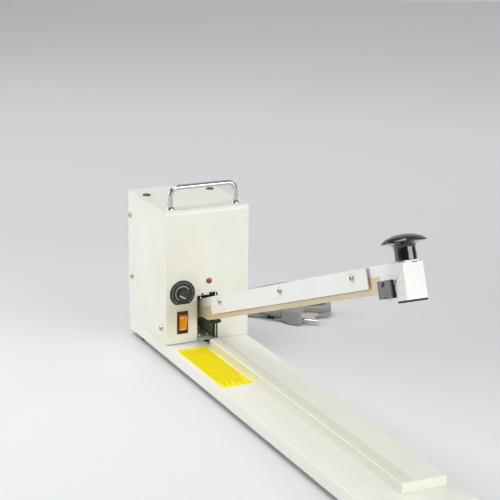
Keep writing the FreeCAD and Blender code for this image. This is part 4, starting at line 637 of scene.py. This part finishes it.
def pull_knob():
    """Polished mushroom knob: straight stem, short cove, wide domed cap."""
    stem = curved([(9.7, 0.0), (10.15, 0.5), (10.15, 4.0), (10.0, 9.0), (10.15, 12.0), (11.0, 13.9), (13.4, 15.1),
                   (17.0, 15.7), (19.9, 16.0)])
    rim = curved([(20.9, 16.25), (21.2, 16.8), (20.9, 17.5)], 4)
    dome = curved([(20.0, 18.3), (17.0, 20.6), (11.2, 22.9), (5.5, 24.0), (0.0, 24.3)], 8)
    mesh = bmesh.new()
    turned(mesh, [(0, 14), (3.05, 14), (3.05, 0)] + stem + rim + dome, ARM @ moved(0, -514.5, 10.8), 96)
    piece = finish_piece("pull_knob_turned", mesh, knob_black, "arm", 50)
    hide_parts("pull_knob")


def bent_rod(mesh, radius, rise, reach, bend):
    """A round bar up, across and down again between two feet on local X."""
    ring = bmesh.ops.create_circle(mesh, cap_ends=True, segments=36, radius=radius * MM)["verts"]
    bmesh.ops.translate(mesh, vec=(-reach * MM, 0, 0), verts=ring)
    tip = list(mesh.faces)

    def push(way):
        grown = bmesh.ops.extrude_face_region(mesh, geom=tip)["geom"]
        bmesh.ops.translate(mesh, vec=Vector(way) * MM, verts=new_corners(grown))
        return [item for item in grown if isinstance(item, bmesh.types.BMFace)]

    def swing(middle):
        part = tip + list(tip[0].edges) + list(tip[0].verts)
        last = bmesh.ops.spin(mesh, geom=part, cent=Vector(middle) * MM, axis=(0, 1, 0), angle=math.pi / 2,
                              steps=14, use_duplicate=False)["geom_last"]
        return [item for item in last if isinstance(item, bmesh.types.BMFace)]

    tip = push((0, 0, rise - bend))
    tip = swing((bend - reach, 0, rise - bend))
    tip = push((2 * (reach - bend), 0, 0))
    tip = swing((reach - bend, 0, rise - bend))
    tip = push((0, 0, bend - rise))
    bmesh.ops.remove_doubles(mesh, verts=mesh.verts[:], dist=0.000005)
    bmesh.ops.recalc_face_normals(mesh, faces=mesh.faces[:])


HANDLE_RADIUS = 3
HANDLE_RISE = 25
HANDLE_REACH = 41.2
HANDLE_BEND = 10
HANDLE_BACK = 13.9


def carrying_handle():
    """Chromed rod handle with its studs, and the two flared collars it stands in."""
    mesh = bmesh.new()
    bent_rod(mesh, HANDLE_RADIUS, HANDLE_RISE, HANDLE_REACH, HANDLE_BEND)
    bmesh.ops.transform(mesh, matrix=HOUSING @ moved(0, HANDLE_BACK, COVER_TOP), verts=mesh.verts[:])
    for vert in mesh.verts:
        vert.tag = True
    collars = bmesh.new()
    for side in (-1, 1):
        place = HOUSING @ moved(side * HANDLE_REACH, HANDLE_BACK, COVER_TOP)
        turned(mesh, [(0, -10), (2.2, -10), (2.5, -9.6), (2.5, 0.02), (0, 0.02)], place, 24)
        turned(collars, [(3.04, 0.0), (4.6, 0.0), (4.6, 0.6), (4.3, 1.3), (3.9, 2.3), (3.5, 2.9), (3.04, 3.0),
                         (3.04, 0.0)], place, 40)
    rod = finish_piece("handle_bent_rod", mesh, chrome, "base", 50)
    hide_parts("carrying_handle")
    rings = finish_piece("handle_collar_rings", collars, chrome, "base", 40)
    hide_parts("handle_collars")


def cross_screws(name, places, node, body, head=3.6, tall=2.2, shank=6.0):
    """Pan head screws with a sunk cross, each turned a little differently."""
    mesh, tool = bmesh.new(), bmesh.new()
    for index, place in enumerate(places):
        turned(mesh, [(0, -shank), (1.6, -shank), (2.0, 0.6 - shank), (2.0, 0.0), (head, 0.0), (head, 0.3 * tall),
                      (head * 0.93, 0.6 * tall), (head * 0.76, 0.84 * tall), (head * 0.45, 0.97 * tall), (0, tall)],
               place, 32)
        for arm in (0, 90):
            turn = place @ turned_by(23 * index + arm, "Z")
            block(tool, (-head * 0.66, -0.5, tall * 0.3), (head * 0.66, 0.5, tall + 1), turn)
    piece = finish_piece(name, carved(mesh, tool), nickel, body, 35)
    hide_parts(node)


def all_screws():
    """The screws that show: three on each side of the cover, and three in the clamping plate."""
    sides = [HOUSING @ moved(side * COVER_HALF, y, z) @ facing((side, 0, 0)) for side in (-1, 1)
             for y, z in ((14.5, 17.8), (108, 55.6), (112, 132))]
    cross_screws("cover_screw_heads", sides, "cover_screws", "base")
    plate = [ARM @ moved(-10.4, -along, 3.2) @ facing((-1, 0, 0)) for along in (102.7, 264.7, 426.7)]
    cross_screws("clamp_screw_heads", plate, "clamp_screws", "arm", shank=8.1)


def cutter_screw():
    """Black screw that holds the cutter's side plate."""
    mesh, tool = bmesh.new(), bmesh.new()
    place = ARM @ moved(-14.75, -492.6, -7.4) @ facing((-1, 0, 0))
    turned(mesh, [(0, -1.35), (2.0, -1.35), (2.0, 0.15), (1.7, 0.45), (1.0, 0.6), (0, 0.62)], place, 28)
    for arm in (20, 110):
        block(tool, (-1.2, -0.28, 0.1), (1.2, 0.28, 1.5), place @ turned_by(arm, "Z"))
    finish_piece("cutter_side_screw", carved(mesh, tool), black_plastic, "cutter", 35)


LABEL_SIZE = (37.1, 130.3)
# How much shorter each ruled line of the label is than the longest, in millimetres.
RULE_GAPS = (14, 0, 6, 0, 10, 0, 4, 0, 8, 22)


def base_label():
    """Plain yellow label on the base, ruled but blank."""
    film = bmesh.new()
    corners = bmesh.ops.create_grid(film, x_segments=1, y_segments=1, size=0.5)["verts"]
    bmesh.ops.scale(film, vec=(LABEL_SIZE[0] * MM, LABEL_SIZE[1] * MM, 1), verts=corners)
    bmesh.ops.bevel(film, geom=corners, offset=3 * MM, segments=6, profile=0.5, affect="VERTICES", material=-1)
    bmesh.ops.transform(film, matrix=HOUSING @ moved(-29.45, -84.55, 0.02), verts=film.verts[:])
    raised(film, film.faces[:], 0.14, (0, 0, 1))
    finish_piece("label_film", film, yellow_film, "base", 30)
    rules = bmesh.new()
    for index, short in enumerate(RULE_GAPS):
        x = -44.6 + index * 3.35
        block(rules, (x - 0.33, -143.5 + short, 0.16), (x + 0.33, -26.5, 0.2), HOUSING)
    finish_piece("label_rules", rules, rule_ink, "base", 0)


# The timer's scale, in degrees and millimetres: where the figure 0 stands, how far apart the figures are,
# and their radius.
SCALE_START = 232
SCALE_STEP = 28
SCALE_RADIUS = 12.9


def dial_printing():
    """White scale on the timer's plate: figures, ticks and the swept line round the knob."""
    mesh = bmesh.new()
    for figure in range(11):
        angle = SCALE_START - SCALE_STEP * figure
        turn = math.radians(angle)
        spot = moved(SCALE_RADIUS * math.cos(turn), SCALE_RADIUS * math.sin(turn), 0.06)
        letters(mesh, str(figure), 2.9, DIAL_FACE @ spot @ turned_by(angle - 90, "Z"))
    for gap in range(10):
        block(mesh, (SCALE_RADIUS - 0.2, -1.0, 0.01), (SCALE_RADIUS + 0.2, 1.0, 0.07),
              DIAL_FACE @ turned_by(SCALE_START - SCALE_STEP * (gap + 0.5), "Z"))
    finish_piece("dial_figures", mesh, faded_ink, "base", 0)
    mesh = bmesh.new()
    pair = [mesh.verts.new((radius * MM, 0, 0)) for radius in (8.2, 9.0)]
    bmesh.ops.spin(mesh, geom=pair + [mesh.edges.new(pair)], cent=(0, 0, 0), axis=(0, 0, 1),
                   angle=math.radians(-214), steps=54, use_duplicate=False)
    raised(mesh, mesh.faces[:], 0.07, (0, 0, 1))
    bmesh.ops.transform(mesh, matrix=DIAL_FACE @ moved(0, 0, 0.01) @ turned_by(240, "Z"), verts=mesh.verts[:])
    finish_piece("dial_sweep", mesh, white_ink, "base", 0)


def timer_pointer():
    """White line across the lower left of the timer's knob."""
    mesh = bmesh.new()
    bar = block(mesh, (-4.1, -0.6, -0.6), (4.1, 0.6, 0.14), TIMER_FACE @ moved(-2.6, -2.4, 0) @ turned_by(-31, "Z"))
    chamfer(mesh, bar, 0.06, 1)
    finish_piece("timer_pointer_line", mesh, white_ink, "timer", 0)


def pulled(mesh, outline, low, high, place):
    """A straight piece from its side outline of (y, z) pairs, between two x places, in millimetres."""
    spots = [mesh.verts.new((low * MM, y * MM, z * MM)) for y, z in outline]
    front = bmesh.ops.contextual_create(mesh, geom=spots)["faces"]
    grown = bmesh.ops.extrude_face_region(mesh, geom=front)["geom"]
    ends = new_corners(grown)
    bmesh.ops.translate(mesh, vec=((high - low) * MM, 0, 0), verts=ends)
    bmesh.ops.recalc_face_normals(mesh, faces=mesh.faces[:])
    bmesh.ops.transform(mesh, matrix=place, verts=spots + ends)
    return spots + ends


def rocker():
    """Orange rocker with a rounded head that stands proud, and the ring moulded at its foot."""
    mesh = bmesh.new()
    face = curved([(3.0, 9.9), (-0.5, 10.1), (-3.2, 9.4), (-4.6, 7.7), (-4.9, 4.8), (-4.0, 1.0), (-2.9, -3.0),
                   (-2.1, -7.0), (-1.6, -9.2), (-0.2, -9.9), (3.0, -9.9)], 3)
    place = HOUSING @ moved(DIAL[0], 0, 26.3)
    pulled(mesh, face, -4.5, 4.5, place)
    chamfer(mesh, mesh.verts[:], 0.55, 3)
    piece = finish_piece("rocker_rounded", mesh, orange, "rocker", 45)
    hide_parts("rocker_key")
    ring = bmesh.new()
    turned(ring, [(0.95, -0.3), (1.65, -0.3), (1.65, 0.1), (0.95, 0.1), (0.95, -0.3)],
           place @ moved(0, -2.05, -7.2) @ facing((0, -1, 0.13)), 28)
    finish_piece("rocker_ring", ring, white_ink, "rocker", 0)


def lamp_dome():
    """Domed red lens of the sealing lamp."""
    mesh = bmesh.new()
    socket = [(0, -4), (2.55, -4), (2.55, 1.02), (3.3, 1.02)]
    dome = curved([(3.35, 1.4), (2.9, 2.1), (1.6, 2.6), (0, 2.75)], 5)
    turned(mesh, socket + dome, FACE @ moved(1.8, 73.6, 0), 36)
    piece = finish_piece("lamp_dome", mesh, lens_red, "base", 50)
    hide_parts("lamp_lens")


def slot_trim():
    """Cream tab across the slot's upper left corner with its small screw, the guide edge on the right, and a dark
    sheet of painted shade behind that edge.
    """
    mesh = bmesh.new()
    tab = block(mesh, (-13.5, 0.3, 56.3), (2.4, 1.45, 59.15), HOUSING)
    chamfer(mesh, tab, 0.25, 2)
    guide = block(mesh, (10.1, 0.2, 1.3), (11.2, 1.4, 58.9), HOUSING)
    chamfer(mesh, guide, 0.2, 2)
    finish_piece("slot_trim", mesh, cream, "base", 30)
    # Painted shade: a dark sheet behind the guide edge, where the slot's inside lies in shade.
    shade = bmesh.new()
    block(shade, (10.05, 1.45, 1.3), (11.1, 7.8, 58.9), HOUSING)
    finish_piece("slot_side_painted_shade", shade, slot_painted_shade, "base", 0)
    screw = bmesh.new()
    turned(screw, [(0, -0.4), (1.35, -0.4), (1.35, 0.2), (1.0, 0.55), (0, 0.65)],
           FACE @ moved(-6.2, 57.9, -0.3), 24)
    finish_piece("slot_tab_screw", screw, black_plastic, "base", 35)


CLOTH_END = -475
CLOTH_UNDER = -15.95
JAW_END = -488
JAW_RIGHT = 5.0


def jaw_and_cloth():
    """Aluminium jaw and the tan cloth over it, both rounded off at the back end, and the rubber bumper below."""
    corner = curved([(-31.2, 0.5), (-32.6, -3.5), (-35.5, -7.6), (-40.0, -11.2), (-46.5, -14.0), (-54.0, -15.5),
                     (-62.0, CLOTH_UNDER)], 4)
    mesh = bmesh.new()
    pulled(mesh, corner + [(CLOTH_END, CLOTH_UNDER), (CLOTH_END, 0.5)], -7.6, -7.32, ARM)
    under = [spot for spot in corner if spot[1] < -11]
    inner = [(y, z + 0.22) for y, z in reversed(under)]
    pulled(mesh, under + [(CLOTH_END, CLOTH_UNDER), (CLOTH_END, -15.72)] + inner, -7.58, JAW_RIGHT, ARM)
    piece = finish_piece("release_cloth_rounded", mesh, cloth_tan, "arm", 40)
    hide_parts("release_cloth")
    mesh = bmesh.new()
    heel = [(y - 0.15, max(z + 0.35, -15.7)) for y, z in under]
    outline = [(-32.2, -5.2), (-32.2, -9.6), (-35.0, -10.6)] + heel + [(JAW_END, -15.7), (JAW_END, -5.2)]
    pulled(mesh, outline, -7.0, JAW_RIGHT, ARM)
    piece = finish_piece("jaw_rounded", mesh, milled, "arm", 40)
    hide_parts("jaw_bar")
    mesh = bmesh.new()
    near = curved([(0, 0), (1.3, 0.3), (2.1, 1.2), (2.35, 2.6)], 5)
    far = curved([(2.35, 11.9), (2.1, 13.3), (1.3, 14.2), (0, 14.5)], 5)
    turned(mesh, near + far, ARM @ moved(-1.6, -42.5, -18.35) @ facing((1, 0, 0)), 28)
    piece = finish_piece("bumper_roll", mesh, recess_black, "arm", 50)
    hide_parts("element_boot")


def cap_seam():
    """Painted shadow: a fine grey line along the seam where the end cap's side laps over the arm."""
    mesh = bmesh.new()
    place = ARM @ moved(0, -526.1, 8.9) @ turned_by(-133.0, "X")
    block(mesh, (-10.56, -0.2, 0.0), (-10.48, 0.2, 29.2), place)
    finish_piece("cap_seam", mesh, painted_seam_shadow, "arm", 0)


def shelf_liner():
    """Painted floor seen through the shelf's opening in front of the slot."""
    mesh = bmesh.new()
    block(mesh, (-8, -20, -4.6), (11, 6, -3.8), HOUSING)
    finish_piece("shelf_opening_liner", mesh, bracket_grey, "base", 0)


def bed_side():
    """Bright strip along the left side of the sealing bed."""
    mesh = bmesh.new()
    block(mesh, (-8.72, -463.6, 0.1), (-8.52, -26.4, 9.7), HOUSING)
    finish_piece("bed_side_strip", mesh, bright, "base", 0)


for build in (pull_knob, carrying_handle, all_screws, cutter_screw, base_label, dial_printing, timer_pointer,
              rocker, lamp_dome, slot_trim, jaw_and_cloth, cap_seam, shelf_liner, bed_side):
    build()


# Level direction that the camera looks in.
VIEW = Vector((math.sin(math.radians(CAMERA_YAW)), math.cos(math.radians(CAMERA_YAW)), 0))


def plane(name, size, place, finish):
    """A flat sheet of the surroundings."""
    mesh = bmesh.new()
    bmesh.ops.create_grid(mesh, x_segments=1, y_segments=1, size=1.0)
    bmesh.ops.transform(mesh, matrix=place @ Matrix.Diagonal((*size, 1, 1)), verts=mesh.verts[:])
    sheet = finish_piece(name, mesh, finish.material, None, smooth=0)


def lamp(name, spot, aim, size, power):
    """A soft rectangular lamp that shines towards a point."""
    data = bpy.data.lights.new(name, "AREA")
    data.shape = "RECTANGLE"
    data.size, data.size_y = size
    data.energy = power
    holder = bpy.data.objects.new(name, data)
    bpy.context.scene.collection.objects.link(holder)
    way = (Vector(aim) - Vector(spot)).normalized()
    holder.matrix_world = Matrix.Translation(spot) @ way.to_track_quat("-Z", "Y").to_matrix().to_4x4()


# The table's painted shade changes along a line that is turned this far from the row's own axes, in degrees,
# between two places along it, in metres.
TABLE_TURN = 49.7
TABLE_SPAN = (-0.3, 1.7)


def table_finish():
    """Pale table with painted shade, a little greyer in the middle distance."""
    finish = Finish("table_pale_painted_shade", rough=0.85)
    split = finish.node("SeparateXYZ")
    finish.link(finish.mapped(turn=(0, 0, math.radians(TABLE_TURN))), split.inputs["Vector"])
    reach = finish.node("MapRange")
    reach.inputs["From Min"].default_value, reach.inputs["From Max"].default_value = TABLE_SPAN
    finish.link(split.outputs["Y"], reach.inputs["Value"])
    # Painted shade: greyer in the middle distance, pale near the row and far off.
    tone = finish.ramp(reach.outputs["Result"], (0.1, srgb(238, 239, 240)), (0.4, srgb(215, 216, 217)),
                       (0.9, srgb(240, 241, 242)))
    finish.link(tone, finish.shader.inputs["Base Color"])
    return finish


# Each lamp's name, place, aim, size and power, in metres and watts.
LAMPS = (("lamp_left", (-1.9, 1.2, 0.8), (0, 0, 0.1), (1.5, 1.2), 24),
         ("lamp_front", (2.2, -4.4, 1.5), (0, 0, 0.1), (4.6, 2.2), 164),
         ("lamp_above", (-0.5, 0.3, 2.4), (0, 0.1, 0), (1.7, 1.4), 27))
WALL_DISTANCE = 3.7
# The room's light by height: pale at the horizon and below, dark above it, white overhead.
ROOM_TONES = ((0.0, (0.9, 0.92, 0.96)), (0.22, (0.14, 0.15, 0.17)), (1.0, (1.0, 1.0, 1.0)))
ROOM_STRENGTH = 0.42


def surroundings():
    """A pale table top, a grey wall far behind it, a dim room and three soft lamps."""
    plane("table_top", (4, 4), Matrix.Identity(4), table_finish())
    wall = Finish("wall_grey", rough=0.9)
    wall.vary(wall.noise(1.2, 2), srgb(228, 229, 231), srgb(232, 233, 235))
    plane("back_wall", (6, 3), Matrix.Translation(VIEW * WALL_DISTANCE) @ facing(-VIEW), wall)
    for setting in LAMPS:
        lamp(*setting)
    world = bpy.data.worlds.new("room")
    world.use_nodes = True
    tree = world.node_tree
    way = tree.nodes.new("ShaderNodeTexCoord")
    split = tree.nodes.new("ShaderNodeSeparateXYZ")
    sky = tree.nodes.new("ShaderNodeValToRGB")
    tree.links.new(way.outputs["Generated"], split.inputs["Vector"])
    tree.links.new(split.outputs["Z"], sky.inputs["Fac"])
    tree.links.new(sky.outputs["Color"], tree.nodes["Background"].inputs["Color"])
    sky.color_ramp.elements.new(0.5)
    for stop, (spot, shade) in zip(sky.color_ramp.elements, ROOM_TONES):
        stop.position = spot
        stop.color = (*shade, 1)
    tree.nodes["Background"].inputs["Strength"].default_value = ROOM_STRENGTH
    bpy.context.scene.world = world


surroundings()
